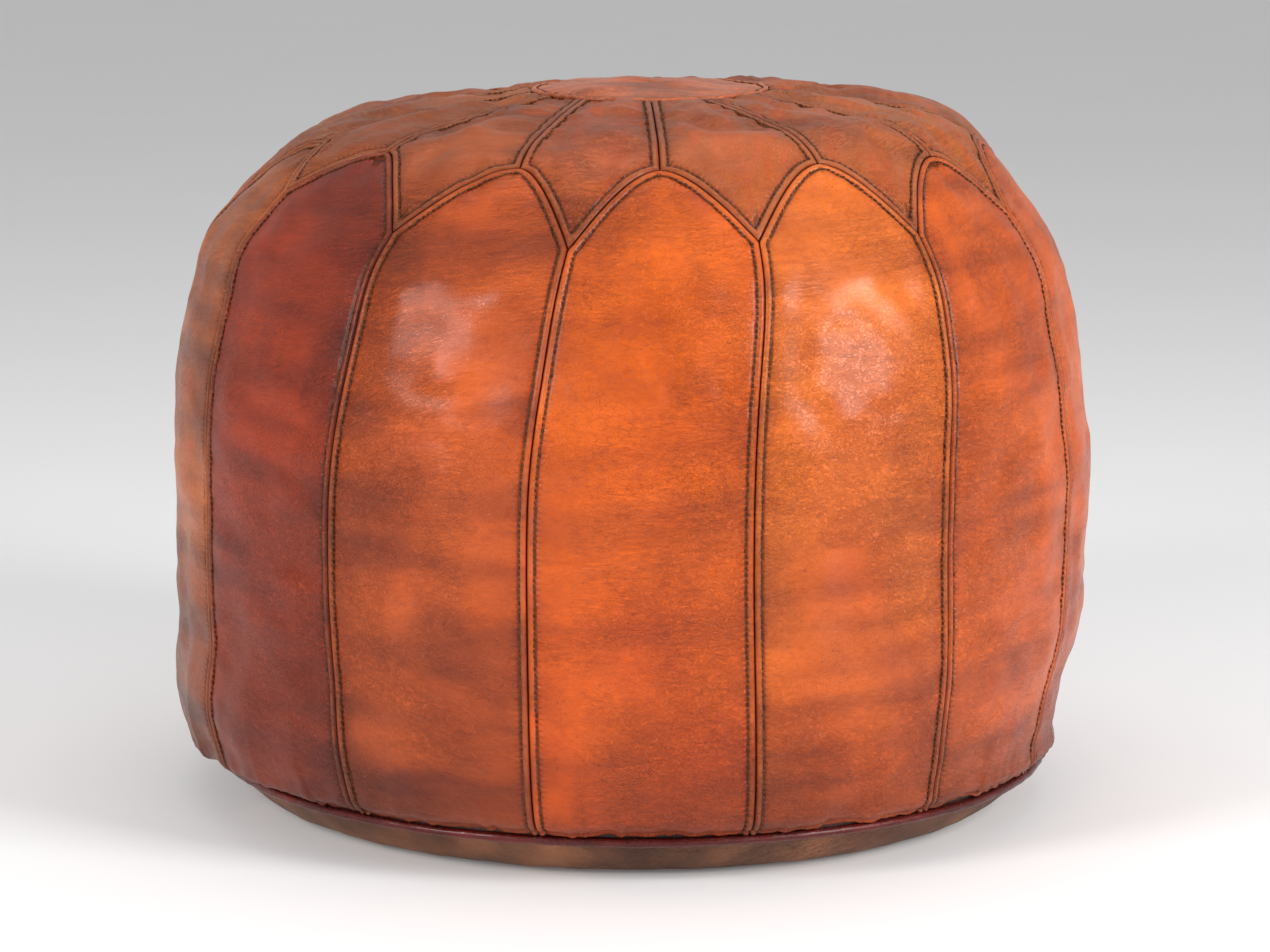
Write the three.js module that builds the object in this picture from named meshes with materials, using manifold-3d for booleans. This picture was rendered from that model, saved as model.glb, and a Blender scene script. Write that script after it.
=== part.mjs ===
// Moroccan leather pouf: a round stuffed floor seat.
// Fourteen side panels with pointed arch tops, fourteen petals and a round
// centre piece make the cover; a welt joins them to a two-part base with a
// recessed zip. A cloth lining and its filling are inside.
// Millimetres, +Z up, origin at the middle of the face that stands on the floor.

import * as THREE from 'three';
import { mergeVertices } from 'three/addons/utils/BufferGeometryUtils.js';
import Module from 'manifold-3d';

const wasm = await Module();
wasm.setup();

// ---------------------------------------------------------------- dimensions
const R = 247; // unit radius: the belly is 1.011 of it
const SIDES = 14; // panels, and petals
const SKIN = 2.8; // goat leather with its backing
const HALF_GAP = 0.45; // half the gap at each join
const TOP_GAP = 0.8; // how far a panel's arch stays below its petals

// outer profile from the side's lower edge to the middle of the top, in R
const PROFILE = [
  [0.912, 0.105], [0.944, 0.128], [0.966, 0.175], [0.983, 0.25], [0.998, 0.38],
  [1.006, 0.52], [1.01, 0.68], [1.011, 0.8], [1.004, 0.93], [0.986, 1.04],
  [0.955, 1.155], [0.916, 1.25], [0.862, 1.318], [0.8, 1.386], [0.735, 1.447],
  [0.665, 1.484], [0.56, 1.507], [0.42, 1.528], [0.26, 1.5445], [0.12, 1.553],
  [0, 1.554],
];

// azimuth of each hand-cut side seam, in degrees from the front, at these heights
const SEAM_Z = [0.09, 0.33, 0.56, 0.75, 0.9, 1.05, 1.18, 1.315];
const SEAM_AZ = [
  [-11.7, -11.8, -11.9, -11.9, -11.5, -10.55, -9.7, -8.5],
  [15.7, 14.9, 14.3, 14.1, 14.3, 15.1, 16.2, 16.95],
  [42.05, 41.2, 40.4, 40.0, 40.7, 41.8, 42.0, 42.2],
  [67.6, 67.8, 67.9, 67.8, 68.0, 67.4, 67.3, 67.4],
  [91.3, 91.0, 90.7, 90.9, 91.5, 92.3, 93.3, 94.6],
  [116.2, 116.5, 116.9, 117.0, 117.6, 118.6, 119.4, 120.3],
  [142.9, 142.5, 142.1, 142.2, 142.7, 143.8, 144.9, 145.9],
  [168.6, 168.3, 167.9, 167.8, 168.6, 169.6, 170.5, 171.6],
  [193.2, 193.6, 194.0, 194.2, 194.5, 195.1, 196.2, 197.3],
  [220.0, 219.6, 219.2, 219.3, 220.0, 221.2, 222.0, 223.0],
  [244.8, 245.1, 245.5, 245.4, 246.0, 246.9, 247.9, 248.8],
  [270.6, 270.8, 271.1, 271.2, 271.6, 272.2, 273.3, 274.4],
  [296.7, 296.8, 297.0, 297.4, 297.2, 297.2, 297.0, 296.8],
  [323.3, 322.7, 322.1, 322.2, 322.9, 324.0, 324.6, 325.4],
];
// where two arches spring from the seam below them
const VALLEY_Z = [
  1.303, 1.311, 1.302, 1.308, 1.312, 1.318, 1.306,
  1.315, 1.31, 1.319, 1.308, 1.324, 1.378, 1.322,
];
// the point of each arch
const APEX_AZ = [
  4.1, 30.5, 55.5, 80.8, 108.0, 134.6, 160.2,
  186.0, 211.6, 237.4, 263.6, 289.4, 313.0, 341.5,
];
const APEX_Z = [
  1.445, 1.441, 1.429, 1.43, 1.44, 1.446, 1.452,
  1.448, 1.453, 1.452, 1.46, 1.467, 1.47, 1.451,
];
const ARCH_POWER = 1.85; // 1 is a straight-sided point, 2 a round arch

// how the stuffed cover has settled with use, in R or as a share of the radius
const LEAN = 0.032; // the top rises towards +X by this slope, its middle stays level
const TOP_RISE = 0.004;
const SAG_LEFT = 0.034; // the low bulge at -X
const DRAWN_RIGHT = 0.023, DRAWN_BELLY = 0.016; // where +X is slimmer, low down and at the belly
const SHOULDER_LEFT = 0.02, SHOULDER_RIGHT = 0.014; // -X shoulder fuller, +X shoulder slimmer
const BASE_WIDE = 0.022; // the foot of the cover and its base are wider along X

// the centre piece, a little off the middle as it is sewn by hand
const CENTRE = [0.034, 0.0];
const CENTRE_R = 0.26;
const CENTRE_AZ = [
  0.3, 26.5, 53.6, 78.5, 103.6, 128.4, 153.5,
  178.4, 203.4, 228.3, 253.2, 278.2, 303.0, 326.5,
];

// welt and base
const WELT_R = 0.897 * R, WELT_Z = 0.0925 * R, WELT_THICK = 2.3;
const BASE_SKIN = 2.4;
const BASE_FLAT = 0.772 * R;
const BASE = [[0.772, 0], [0.806, 0.0135], [0.84, 0.04], [0.885, 0.08]];

// recessed zip, along X
const POCKET_X = 175, POCKET_Y = 16, POCKET_Z = 7.6;
const SLOT_X = 166, SLOT_Y = 7;
const TAPE_X = 170, TAPE_IN = 2.9, TAPE_OUT = 15, TAPE_Z = 10.3, TAPE_T = 0.8;
const COIL_X = 149, COIL_IN = 0.8, COIL_OUT = 2.6, COIL_Z = 9.6, COIL_T = 2;
const STOP_L = 3;
const SLIDER_X = -143; // closed end
const SLIDER_L = 12;
const PIN_R = 0.7, PIN_Z = 3.4, EYE_R = 1.05;
const TAB_L = 27;

// lining and filling
const LINING_IN = 7.4, LINING_T = 1.6, LINING_FLOOR = 14.6, LINING_MOUTH = 70;
const FILL_IN = 9.8, FILL_FLOOR = 17;
const ROUND = 42; // facets round the lining and the filling

// ---------------------------------------------------------------- the profile
const curve = new THREE.CatmullRomCurve3(
  PROFILE.map(([r, z]) => new THREE.Vector3(r * R, z * R, 0)), false, 'centripetal');
const TABLE = curve.getPoints(800).map((p) => [p.x, p.y]);

function tableAt(value, column) {
  // column 1 looks up a height, column 0 a radius on the top; both are monotonic there
  let a = 0, b = TABLE.length - 1;
  const up = column === 1;
  while (b - a > 1) {
    const m = (a + b) >> 1;
    if (up ? TABLE[m][1] < value : TABLE[m][0] > value) a = m; else b = m;
  }
  const [ra, za] = TABLE[a], [rb, zb] = TABLE[b];
  const t = up ? (value - za) / (zb - za || 1) : (value - ra) / (rb - ra || 1);
  const dr = rb - ra, dz = zb - za, n = Math.hypot(dr, dz);
  return {
    r: ra + dr * t, z: za + dz * t,
    nr: dz / n, nz: -dr / n, // outward
  };
}
const atZ = (z) => tableAt(z, 1);
const WIDEST = TABLE.reduce((m, p, i) => (p[0] > TABLE[m][0] ? i : m), 0);
function atR(r) {
  // on the upper half only
  let a = WIDEST, b = TABLE.length - 1;
  while (b - a > 1) {
    const m = (a + b) >> 1;
    if (TABLE[m][0] > r) a = m; else b = m;
  }
  const [ra, za] = TABLE[a], [rb, zb] = TABLE[b];
  const t = (r - ra) / (rb - ra || 1);
  const dr = rb - ra, dz = zb - za, n = Math.hypot(dr, dz);
  return { r, z: za + dz * t, nr: dz / n, nz: -dr / n };
}

const rad = (d) => (d * Math.PI) / 180;
const lerp = (a, b, t) => a + (b - a) * t;
const polar = (az, r) => [r * Math.sin(rad(az)), -r * Math.cos(rad(az))];

// seam, valley and apex numbers run on past one turn
const turn = (list, k) => {
  const n = Math.floor(k / SIDES), i = k - n * SIDES;
  return list[i] + 360 * n;
};
function seamAz(k, z) {
  const n = Math.floor(k / SIDES), row = SEAM_AZ[k - n * SIDES];
  const h = Math.min(Math.max(z / R, SEAM_Z[0]), SEAM_Z.at(-1));
  let i = 0;
  while (i < SEAM_Z.length - 2 && h > SEAM_Z[i + 1]) i++;
  return lerp(row[i], row[i + 1], (h - SEAM_Z[i]) / (SEAM_Z[i + 1] - SEAM_Z[i])) + 360 * n;
}
const valleyAz = (k) => seamAz(k, 2 * R);
const wrap = (list, k) => list[((k % SIDES) + SIDES) % SIDES];
const valleyZ = (k) => wrap(VALLEY_Z, k) * R;
const apexAz = (k) => turn(APEX_AZ, k);
const apexZ = (k) => wrap(APEX_Z, k) * R;
const rise = (t) => 1 - Math.pow(1 - t, ARCH_POWER);

// half an arch of panel k: side 0 springs from its left seam, side 1 from its right one
function arch(k, side, t) {
  const az0 = valleyAz(k + side), z0 = valleyZ(k + side);
  return { az: lerp(az0, apexAz(k), t), z: lerp(z0, apexZ(k), rise(t)) };
}

// ---------------------------------------------------------------- settling
const between = (lo, hi, x) => {
  const t = Math.min(Math.max((x - lo) / (hi - lo), 0), 1);
  return t * t * (3 - 2 * t);
};
function settle(x, y, z) {
  const h = z / R, r = Math.max(Math.hypot(x, y), 1e-6), e = x / r;
  const left = Math.max(-e, 0) ** 2, right = Math.max(e, 0) ** 2;
  const f = 1
    + SAG_LEFT * left * between(0.095, 0.125, h) * (1 - between(0.24, 0.42, h))
    - DRAWN_RIGHT * right * between(0.11, 0.18, h) * (1 - between(0.26, 0.44, h))
    - DRAWN_BELLY * right * between(0.74, 0.9, h) * (1 - between(1.05, 1.22, h))
    + SHOULDER_LEFT * left * between(1.12, 1.3, h) * (1 - between(1.4, 1.5, h))
    - SHOULDER_RIGHT * right * between(1.16, 1.28, h) * (1 - between(1.36, 1.46, h))
    + BASE_WIDE * e * e * between(0.72, 0.8, r / R) * (1 - between(0.09, 0.16, h));
  const lift = LEAN * x * between(0.15, 0.32, r / R) + TOP_RISE * R;
  return [x * f, y * f, z + lift * between(1.1, 1.5, h)];
}
function settled(g) {
  const a = g.getAttribute('position');
  for (let i = 0; i < a.count; i++) a.setXYZ(i, ...settle(a.getX(i), a.getY(i), a.getZ(i)));
  return g;
}

// ---------------------------------------------------------------- shells
// A grid of outer points, each with its outward normal, becomes one closed shell.
function shell(grid, thick) {
  const rows = grid.length, cols = grid[0].length, pos = [], idx = [];
  for (const side of [0, thick])
    for (const row of grid)
      for (const { p, n } of row)
        pos.push(p[0] - n[0] * side, p[1] - n[1] * side, p[2] - n[2] * side);
  const id = (s, i, j) => s * rows * cols + i * cols + j;
  const quad = (a, b, c, d) => idx.push(a, b, c, a, c, d);
  for (let i = 0; i < rows - 1; i++)
    for (let j = 0; j < cols - 1; j++) {
      quad(id(0, i, j), id(0, i, j + 1), id(0, i + 1, j + 1), id(0, i + 1, j));
      quad(id(1, i, j), id(1, i + 1, j), id(1, i + 1, j + 1), id(1, i, j + 1));
    }
  for (let j = 0; j < cols - 1; j++) {
    quad(id(0, 0, j), id(1, 0, j), id(1, 0, j + 1), id(0, 0, j + 1));
    quad(id(0, rows - 1, j), id(0, rows - 1, j + 1), id(1, rows - 1, j + 1), id(1, rows - 1, j));
  }
  for (let i = 0; i < rows - 1; i++) {
    quad(id(0, i, 0), id(0, i + 1, 0), id(1, i + 1, 0), id(1, i, 0));
    quad(id(0, i, cols - 1), id(1, i, cols - 1), id(1, i + 1, cols - 1), id(0, i + 1, cols - 1));
  }
  const g = new THREE.BufferGeometry();
  g.setAttribute('position', new THREE.Float32BufferAttribute(pos, 3));
  g.setIndex(idx);
  return g;
}

function skinPoint(az, q) {
  const s = Math.sin(rad(az)), c = -Math.cos(rad(az));
  return { p: [q.r * s, q.r * c, q.z], n: [q.nr * s, q.nr * c, q.nz] };
}

const SIDE_ROWS = [0, 0.035, 0.1, 0.26, 0.44, 0.6, 0.73, 0.84, 0.93, 1];
const HALF_COLS = [0, 1 / 3, 2 / 3, 1];

function sidePanel(k) {
  const cols = [
    ...HALF_COLS.map((t) => arch(k, 0, t)),
    ...HALF_COLS.slice(0, -1).reverse().map((t) => arch(k, 1, t)),
  ];
  const left = valleyAz(k), width = valleyAz(k + 1) - left, low = PROFILE[0][1] * R;
  const grid = SIDE_ROWS.map((v) => cols.map((top, j) => {
    const z = lerp(low, top.z - TOP_GAP, v), q = atZ(z);
    const share = (top.az - left) / width;
    let az = lerp(seamAz(k, z), seamAz(k + 1, z), share);
    const inset = (HALF_GAP / q.r) * (180 / Math.PI);
    if (j === 0) az += inset;
    if (j === cols.length - 1) az -= inset;
    return skinPoint(az, q);
  }));
  return shell(grid, SKIN);
}

const PETAL_COLS = [0, 0.25, 0.5, 0.75, 1];
const corner = (k) => {
  const a = rad(wrap(CENTRE_AZ, k));
  return [
    (CENTRE[0] + CENTRE_R * Math.sin(a)) * R,
    (CENTRE[1] - CENTRE_R * Math.cos(a)) * R,
  ];
};

function petal(k) {
  const rows = [];
  for (const t of [0.04, ...HALF_COLS.slice(1)]) {
    const a = arch(k - 1, 1, t), b = arch(k, 0, t);
    const ra = atZ(a.z).r, rb = atZ(b.z).r;
    rows.push(PETAL_COLS.map((c) => polar(lerp(a.az, b.az, c), lerp(ra, rb, c))));
  }
  const a0 = polar(apexAz(k - 1), atZ(apexZ(k - 1)).r), b0 = polar(apexAz(k), atZ(apexZ(k)).r);
  const a1 = corner(k - 1), b1 = corner(k), last = rows.at(-1);
  for (const t of [0.34, 0.68, 1])
    rows.push(PETAL_COLS.map((c, j) => {
      // the row's ends run straight to the centre piece, and its bulge flattens on the way
      const row = [0, 1].map((i) => {
        const a = lerp(a0[i], a1[i], t), b = lerp(b0[i], b1[i], t);
        const bulge = last[j][i] - lerp(a0[i], b0[i], c);
        return lerp(a, b, c) + bulge * (1 - t) ** 1.5;
      });
      return row;
    }));
  // draw the edges in by half a gap
  const shifted = rows.map((row) => {
    const a = row[0], b = row.at(-1), d = Math.hypot(b[0] - a[0], b[1] - a[1]);
    const e = HALF_GAP / d;
    return row.map((p, j) => [0, 1].map((i) =>
      p[i] + (j === 0 ? e : j === row.length - 1 ? -e : 0) * (b[i] - a[i])));
  });
  const inner = shifted.at(-1);
  inner.forEach((p) => {
    const d = [p[0] - CENTRE[0] * R, p[1] - CENTRE[1] * R], n = Math.hypot(...d);
    p[0] += (d[0] / n) * HALF_GAP;
    p[1] += (d[1] / n) * HALF_GAP;
  });
  const grid = shifted.map((row) => row.map(([x, y]) => {
    const r = Math.hypot(x, y), q = atR(r);
    return { p: [x, y, q.z], n: [(q.nr * x) / r, (q.nr * y) / r, q.nz] };
  }));
  return shell(grid, SKIN);
}

function medallion() {
  // flat in the middle, falling to fourteen corners
  const pos = [], idx = [], cx = CENTRE[0] * R, cy = CENTRE[1] * R;
  const flat = atR(0.135 * R).z;
  for (const low of [0, SKIN]) {
    pos.push(cx, cy, flat - low);
    for (const share of [0.45, 1])
      for (let k = 0; k < SIDES; k++) {
        const [x, y] = corner(k), n = CENTRE_R * R;
        const f = share === 1 ? 1 - (2 * HALF_GAP) / n : share;
        const px = cx + (x - cx) * f, py = cy + (y - cy) * f;
        pos.push(px, py, (share === 1 ? atR(Math.hypot(px, py)).z : flat) - low);
      }
  }
  const n = 1 + 2 * SIDES, at = (s, ring, k) => s * n + 1 + ring * SIDES + (k % SIDES);
  for (let k = 0; k < SIDES; k++) {
    idx.push(0, at(0, 0, k), at(0, 0, k + 1));
    idx.push(n, at(1, 0, k + 1), at(1, 0, k));
    idx.push(at(0, 0, k), at(0, 1, k), at(0, 1, k + 1), at(0, 0, k), at(0, 1, k + 1), at(0, 0, k + 1));
    idx.push(at(1, 0, k), at(1, 1, k + 1), at(1, 1, k), at(1, 0, k), at(1, 0, k + 1), at(1, 1, k + 1));
    idx.push(at(0, 1, k), at(1, 1, k), at(1, 1, k + 1), at(0, 1, k), at(1, 1, k + 1), at(0, 1, k + 1));
  }
  const g = new THREE.BufferGeometry();
  g.setAttribute('position', new THREE.Float32BufferAttribute(pos, 3));
  g.setIndex(idx);
  return g;
}

// a profile of [radius, height] turned about Z
function turned(points, facets) {
  const g = new THREE.LatheGeometry(points.map(([r, z]) => new THREE.Vector2(r, z)), facets);
  g.rotateX(Math.PI / 2);
  return g;
}

// ---------------------------------------------------------------- joins and cuts
function solid(geometry) {
  let g = geometry.index ? geometry : geometry.clone();
  g = g.clone();
  for (const name of Object.keys(g.attributes)) if (name !== 'position') g.deleteAttribute(name);
  g = mergeVertices(g, 1e-4);
  return new wasm.Manifold(new wasm.Mesh({
    numProp: 3,
    vertProperties: new Float32Array(g.attributes.position.array),
    triVerts: new Uint32Array(g.index.array),
  }));
}
function geometryOf(manifold) {
  const m = manifold.getMesh();
  const g = new THREE.BufferGeometry();
  g.setAttribute('position', new THREE.BufferAttribute(new Float32Array(m.vertProperties), 3));
  g.setIndex(Array.from(m.triVerts));
  return g;
}
function box(x0, x1, y0, y1, z0, z1) {
  const g = new THREE.BoxGeometry(x1 - x0, y1 - y0, z1 - z0);
  g.translate((x0 + x1) / 2, (y0 + y1) / 2, (z0 + z1) / 2);
  return g;
}

function baseHalves() {
  const outer = BASE.map(([r, z]) => [r * R, z * R]);
  const inner = outer.map(([r, z], i) => {
    const a = outer[Math.max(i - 1, 0)], b = outer[Math.min(i + 1, outer.length - 1)];
    const dr = b[0] - a[0], dz = b[1] - a[1], n = Math.hypot(dr, dz);
    return i === 0 ? [r - 0.8, BASE_SKIN] : [r - (dz / n) * BASE_SKIN, z + (dr / n) * BASE_SKIN];
  });
  const bowl = solid(turned([[0, 0], ...outer, ...inner.reverse(), [0, BASE_SKIN]], 56));
  const wall = BASE_SKIN;
  const whole = bowl
    .add(solid(box(-POCKET_X, POCKET_X, -POCKET_Y, POCKET_Y, 0, POCKET_Z + wall)))
    .subtract(solid(box(-POCKET_X + wall, POCKET_X - wall, -POCKET_Y + wall, POCKET_Y - wall, -1, POCKET_Z)))
    .subtract(solid(box(-SLOT_X, SLOT_X, -SLOT_Y, SLOT_Y, -1, 20)));
  return [1, -1].map((s) => {
    const [y0, y1] = s > 0 ? [0.3, R] : [-R, -0.3];
    return settled(geometryOf(whole.intersect(solid(box(-R, R, y0, y1, -5, 60)))));
  });
}

// the metal slider that rides on the two coils, nose towards the closed end
function slider() {
  const plate = (half, tail, z0, z1) => {
    const s = new THREE.Shape();
    const a = SLIDER_L / 2;
    [[-a, -half * 0.72], [-a * 0.3, -half], [a * 0.55, -half], [a, -tail], [a, tail],
      [a * 0.55, half], [-a * 0.3, half], [-a, half * 0.72]]
      .forEach(([x, y], i) => (i ? s.lineTo(x, y) : s.moveTo(x, y)));
    const g = new THREE.ExtrudeGeometry(s, { depth: z1 - z0, bevelEnabled: false });
    g.translate(0, 0, z0);
    return g;
  };
  const pin = new THREE.CylinderGeometry(PIN_R, PIN_R, 5.4, 12);
  pin.translate(0, 0, PIN_Z);
  const bore = new THREE.Matrix4();
  pin.applyMatrix4(bore);
  let m = solid(plate(5.4, 3.6, 7.2, 9.2))
    .add(solid(plate(4.6, 3.2, 12, 13.2)))
    .add(solid(box(-4.6, -1.2, -0.5, 0.5, 9, 12.2)));
  for (const s of [1, -1]) {
    const [y0, y1] = s > 0 ? [2.2, 3.4] : [-3.4, -2.2];
    m = m.add(solid(box(-1.7, 1.7, y0, y1, PIN_Z - 1.3, 7.4)));
  }
  m = m.add(solid(pin));
  return geometryOf(m);
}

// the flat metal pull: an eye round the slider's pin, a neck and a long tab
function pullTab() {
  const eye = new THREE.CylinderGeometry(2.1, 2.1, 3.6, 16);
  eye.translate(0, 0, PIN_Z);
  const hole = new THREE.CylinderGeometry(EYE_R, EYE_R, 8, 16);
  hole.translate(0, 0, PIN_Z);
  const s = new THREE.Shape();
  [[1.2, -1.8], [3, -1.8], [5.5, -3.6], [TAB_L - 3.5, -4.4], [TAB_L - 1, -3.4], [TAB_L, -1.6],
    [TAB_L, 1.6], [TAB_L - 1, 3.4], [TAB_L - 3.5, 4.4], [5.5, 3.6], [3, 1.8], [1.2, 1.8]]
    .forEach(([x, y], i) => (i ? s.lineTo(x, y) : s.moveTo(x, y)));
  const tab = new THREE.ExtrudeGeometry(s, { depth: 1.5, bevelEnabled: false });
  tab.translate(0, 0, PIN_Z - 2.05);
  const slot = new THREE.CylinderGeometry(1.5, 1.5, 8, 16);
  slot.rotateX(Math.PI / 2);
  slot.translate(TAB_L - 4.5, 0, PIN_Z - 1.3);
  return geometryOf(solid(eye).add(solid(tab)).subtract(solid(hole)).subtract(solid(slot)));
}

function insideProfile(depth, floor, flatR, steps) {
  // the cover's profile drawn in by a depth, from the floor up to the middle of the top
  const out = [[flatR, floor]];
  const low = 0.16 * R;
  const first = TABLE.findIndex(([, z]) => z > low);
  // even steps along the curve
  const length = [0];
  for (let i = first + 1; i < TABLE.length; i++)
    length.push(length.at(-1) + Math.hypot(TABLE[i][0] - TABLE[i - 1][0], TABLE[i][1] - TABLE[i - 1][1]));
  for (let s = 0; s < steps; s++) {
    const want = (length.at(-1) * s) / steps;
    const i = first + length.findIndex((l) => l >= want);
    const [r, z] = TABLE[i], q = z < 1.2 * R ? atZ(z) : atR(Math.min(r, TABLE[WIDEST][0]));
    out.push([q.r - q.nr * depth, q.z - q.nz * depth]);
  }
  out.push([0, TABLE.at(-1)[1] - depth]);
  return out;
}

// ---------------------------------------------------------------- the object
const material = (name, colour, roughness, metalness = 0) =>
  new THREE.MeshStandardMaterial({ name, color: colour, roughness, metalness });
const SIDE_LEATHER = material('side_leather', 0xc06526, 0.36);
const TOP_LEATHER = material('top_leather', 0xa5633c, 0.4);
const WELT_LEATHER = material('welt_leather', 0x5a1a12, 0.3);
const BASE_LEATHER = material('base_leather', 0x96765c, 0.6);
const TAPE = material('zip_tape_cloth', 0x4a3222, 0.9);
const COIL = material('zip_coil_nylon', 0x33231a, 0.5);
const METAL = material('zip_metal', 0xb08d57, 0.35, 1);
const LINING = material('lining_cloth', 0xd9cfba, 0.95);
const FILLING = material('cotton_filling', 0xe6dfcf, 1);

const pouf = new THREE.Group();
const cover = new THREE.Group(), zip = new THREE.Group(), inside = new THREE.Group();
pouf.add(cover, zip, inside);
function put(group, name, geometry, mat) {
  const mesh = new THREE.Mesh(geometry, mat);
  mesh.name = name;
  group.add(mesh);
  return mesh;
}
const two = (n) => String(n).padStart(2, '0');

for (let k = 0; k < SIDES; k++) {
  put(cover, `side_panel_${two(k + 1)}`, settled(sidePanel(k)), SIDE_LEATHER);
  put(cover, `top_petal_${two(k + 1)}`, settled(petal(k)), TOP_LEATHER);
}
put(cover, 'centre_medallion', settled(medallion()), TOP_LEATHER);

const ring = [];
for (let i = 0; i <= 6; i++) {
  const a = (i / 6) * 2 * Math.PI + Math.PI / 6;
  ring.push([WELT_R + WELT_THICK * Math.cos(a), WELT_Z + WELT_THICK * Math.sin(a)]);
}
ring[6] = [...ring[0]];
put(cover, 'edge_welt', settled(turned(ring, 70)), WELT_LEATHER);

const [halfBack, halfFront] = baseHalves();
put(cover, 'base_half_back', halfBack, BASE_LEATHER);
put(cover, 'base_half_front', halfFront, BASE_LEATHER);

for (const [side, s] of [['back', 1], ['front', -1]]) {
  const span = (a, b) => (s > 0 ? [a, b] : [-b, -a]);
  put(zip, `zip_tape_${side}`,
    box(-TAPE_X, TAPE_X, ...span(TAPE_IN, TAPE_OUT), TAPE_Z, TAPE_Z + TAPE_T), TAPE);
  put(zip, `zip_coil_${side}`,
    box(-COIL_X, COIL_X, ...span(COIL_IN, COIL_OUT), COIL_Z, COIL_Z + COIL_T), COIL);
}
for (const [name, s] of [['zip_stop_closed', -1], ['zip_stop_open', 1]]) {
  const mesh = put(zip, name,
    box(-STOP_L / 2, STOP_L / 2, -COIL_OUT, COIL_OUT, COIL_Z - 0.3, COIL_Z + COIL_T + 0.3), METAL);
  mesh.position.x = s * (COIL_X + 0.4 + STOP_L / 2);
}
put(zip, 'zip_slider', slider(), METAL).position.x = SLIDER_X;
put(zip, 'zip_pull_tab', pullTab(), METAL).position.x = SLIDER_X;

const liningOut = insideProfile(LINING_IN, LINING_FLOOR, 0.78 * R, 15);
const liningIn = insideProfile(LINING_IN + LINING_T, LINING_FLOOR + LINING_T, 0.775 * R, 15);
put(inside, 'cloth_lining', settled(turned(
  [...liningIn.slice().reverse(), [LINING_MOUTH, LINING_FLOOR + LINING_T],
    [LINING_MOUTH, LINING_FLOOR], ...liningOut], ROUND)), LINING);
const fill = insideProfile(FILL_IN, FILL_FLOOR, 0.77 * R, 15);
put(inside, 'cotton_filling', settled(turned([[0, FILL_FLOOR], ...fill], ROUND)), FILLING);

export default pouf;
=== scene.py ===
import math

import bpy
import numpy as np
from mathutils import Matrix, Vector
from mathutils.bvhtree import BVHTree


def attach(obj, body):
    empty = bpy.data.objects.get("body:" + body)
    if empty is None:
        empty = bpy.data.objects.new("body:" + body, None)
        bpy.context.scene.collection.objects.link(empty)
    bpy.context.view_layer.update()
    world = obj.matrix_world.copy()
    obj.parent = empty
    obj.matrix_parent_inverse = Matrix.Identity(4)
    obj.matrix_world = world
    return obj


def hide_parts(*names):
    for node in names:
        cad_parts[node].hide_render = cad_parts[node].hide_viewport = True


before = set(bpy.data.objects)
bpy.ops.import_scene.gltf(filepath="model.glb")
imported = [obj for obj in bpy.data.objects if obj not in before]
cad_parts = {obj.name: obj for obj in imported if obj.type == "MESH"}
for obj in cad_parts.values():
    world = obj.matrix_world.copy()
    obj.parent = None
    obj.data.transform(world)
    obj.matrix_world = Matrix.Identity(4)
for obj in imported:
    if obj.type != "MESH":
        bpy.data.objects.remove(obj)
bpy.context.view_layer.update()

MM = 0.001
R = 0.247
N = 14

# ------------------------------------------------------------------ the pouf's shape
PROFILE = [
    (0.912, 0.105), (0.944, 0.128), (0.966, 0.175), (0.983, 0.25), (0.998, 0.38),
    (1.006, 0.52), (1.01, 0.68), (1.011, 0.8), (1.004, 0.93), (0.986, 1.04),
    (0.955, 1.155), (0.916, 1.25), (0.862, 1.318), (0.8, 1.386), (0.735, 1.447),
    (0.665, 1.484), (0.56, 1.507), (0.42, 1.528), (0.26, 1.5445), (0.12, 1.553), (0, 1.554),
]
SEAM_Z = [0.09, 0.33, 0.56, 0.75, 0.9, 1.05, 1.18, 1.315]
SEAM_AZ = np.array([
    [-11.7, -11.8, -11.9, -11.9, -11.5, -10.55, -9.7, -8.5],
    [15.7, 14.9, 14.3, 14.1, 14.3, 15.1, 16.2, 16.95],
    [42.05, 41.2, 40.4, 40.0, 40.7, 41.8, 42.0, 42.2],
    [67.6, 67.8, 67.9, 67.8, 68.0, 67.4, 67.3, 67.4],
    [91.3, 91.0, 90.7, 90.9, 91.5, 92.3, 93.3, 94.6],
    [116.2, 116.5, 116.9, 117.0, 117.6, 118.6, 119.4, 120.3],
    [142.9, 142.5, 142.1, 142.2, 142.7, 143.8, 144.9, 145.9],
    [168.6, 168.3, 167.9, 167.8, 168.6, 169.6, 170.5, 171.6],
    [193.2, 193.6, 194.0, 194.2, 194.5, 195.1, 196.2, 197.3],
    [220.0, 219.6, 219.2, 219.3, 220.0, 221.2, 222.0, 223.0],
    [244.8, 245.1, 245.5, 245.4, 246.0, 246.9, 247.9, 248.8],
    [270.6, 270.8, 271.1, 271.2, 271.6, 272.2, 273.3, 274.4],
    [296.7, 296.8, 297.0, 297.4, 297.2, 297.2, 297.0, 296.8],
    [323.3, 322.7, 322.1, 322.2, 322.9, 324.0, 324.6, 325.4],
])
VALLEY_Z = np.array([
    1.303, 1.311, 1.302, 1.308, 1.312, 1.318, 1.306,
    1.315, 1.31, 1.319, 1.308, 1.324, 1.378, 1.322,
])
APEX_AZ = np.array([
    4.1, 30.5, 55.5, 80.8, 108.0, 134.6, 160.2,
    186.0, 211.6, 237.4, 263.6, 289.4, 313.0, 341.5,
])
APEX_Z = np.array([
    1.445, 1.441, 1.429, 1.43, 1.44, 1.446, 1.452,
    1.448, 1.453, 1.452, 1.46, 1.467, 1.47, 1.451,
])
ARCH_POWER = 1.85
CENTRE = np.array([0.034, 0.0]) * R
CENTRE_R = 0.26 * R
CENTRE_AZ = np.array([
    0.3, 26.5, 53.6, 78.5, 103.6, 128.4, 153.5,
    178.4, 203.4, 228.3, 253.2, 278.2, 303.0, 326.5])
WELT_R, WELT_Z, WELT_T = 0.897 * R, 0.0925 * R, 2.3 * MM
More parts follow.
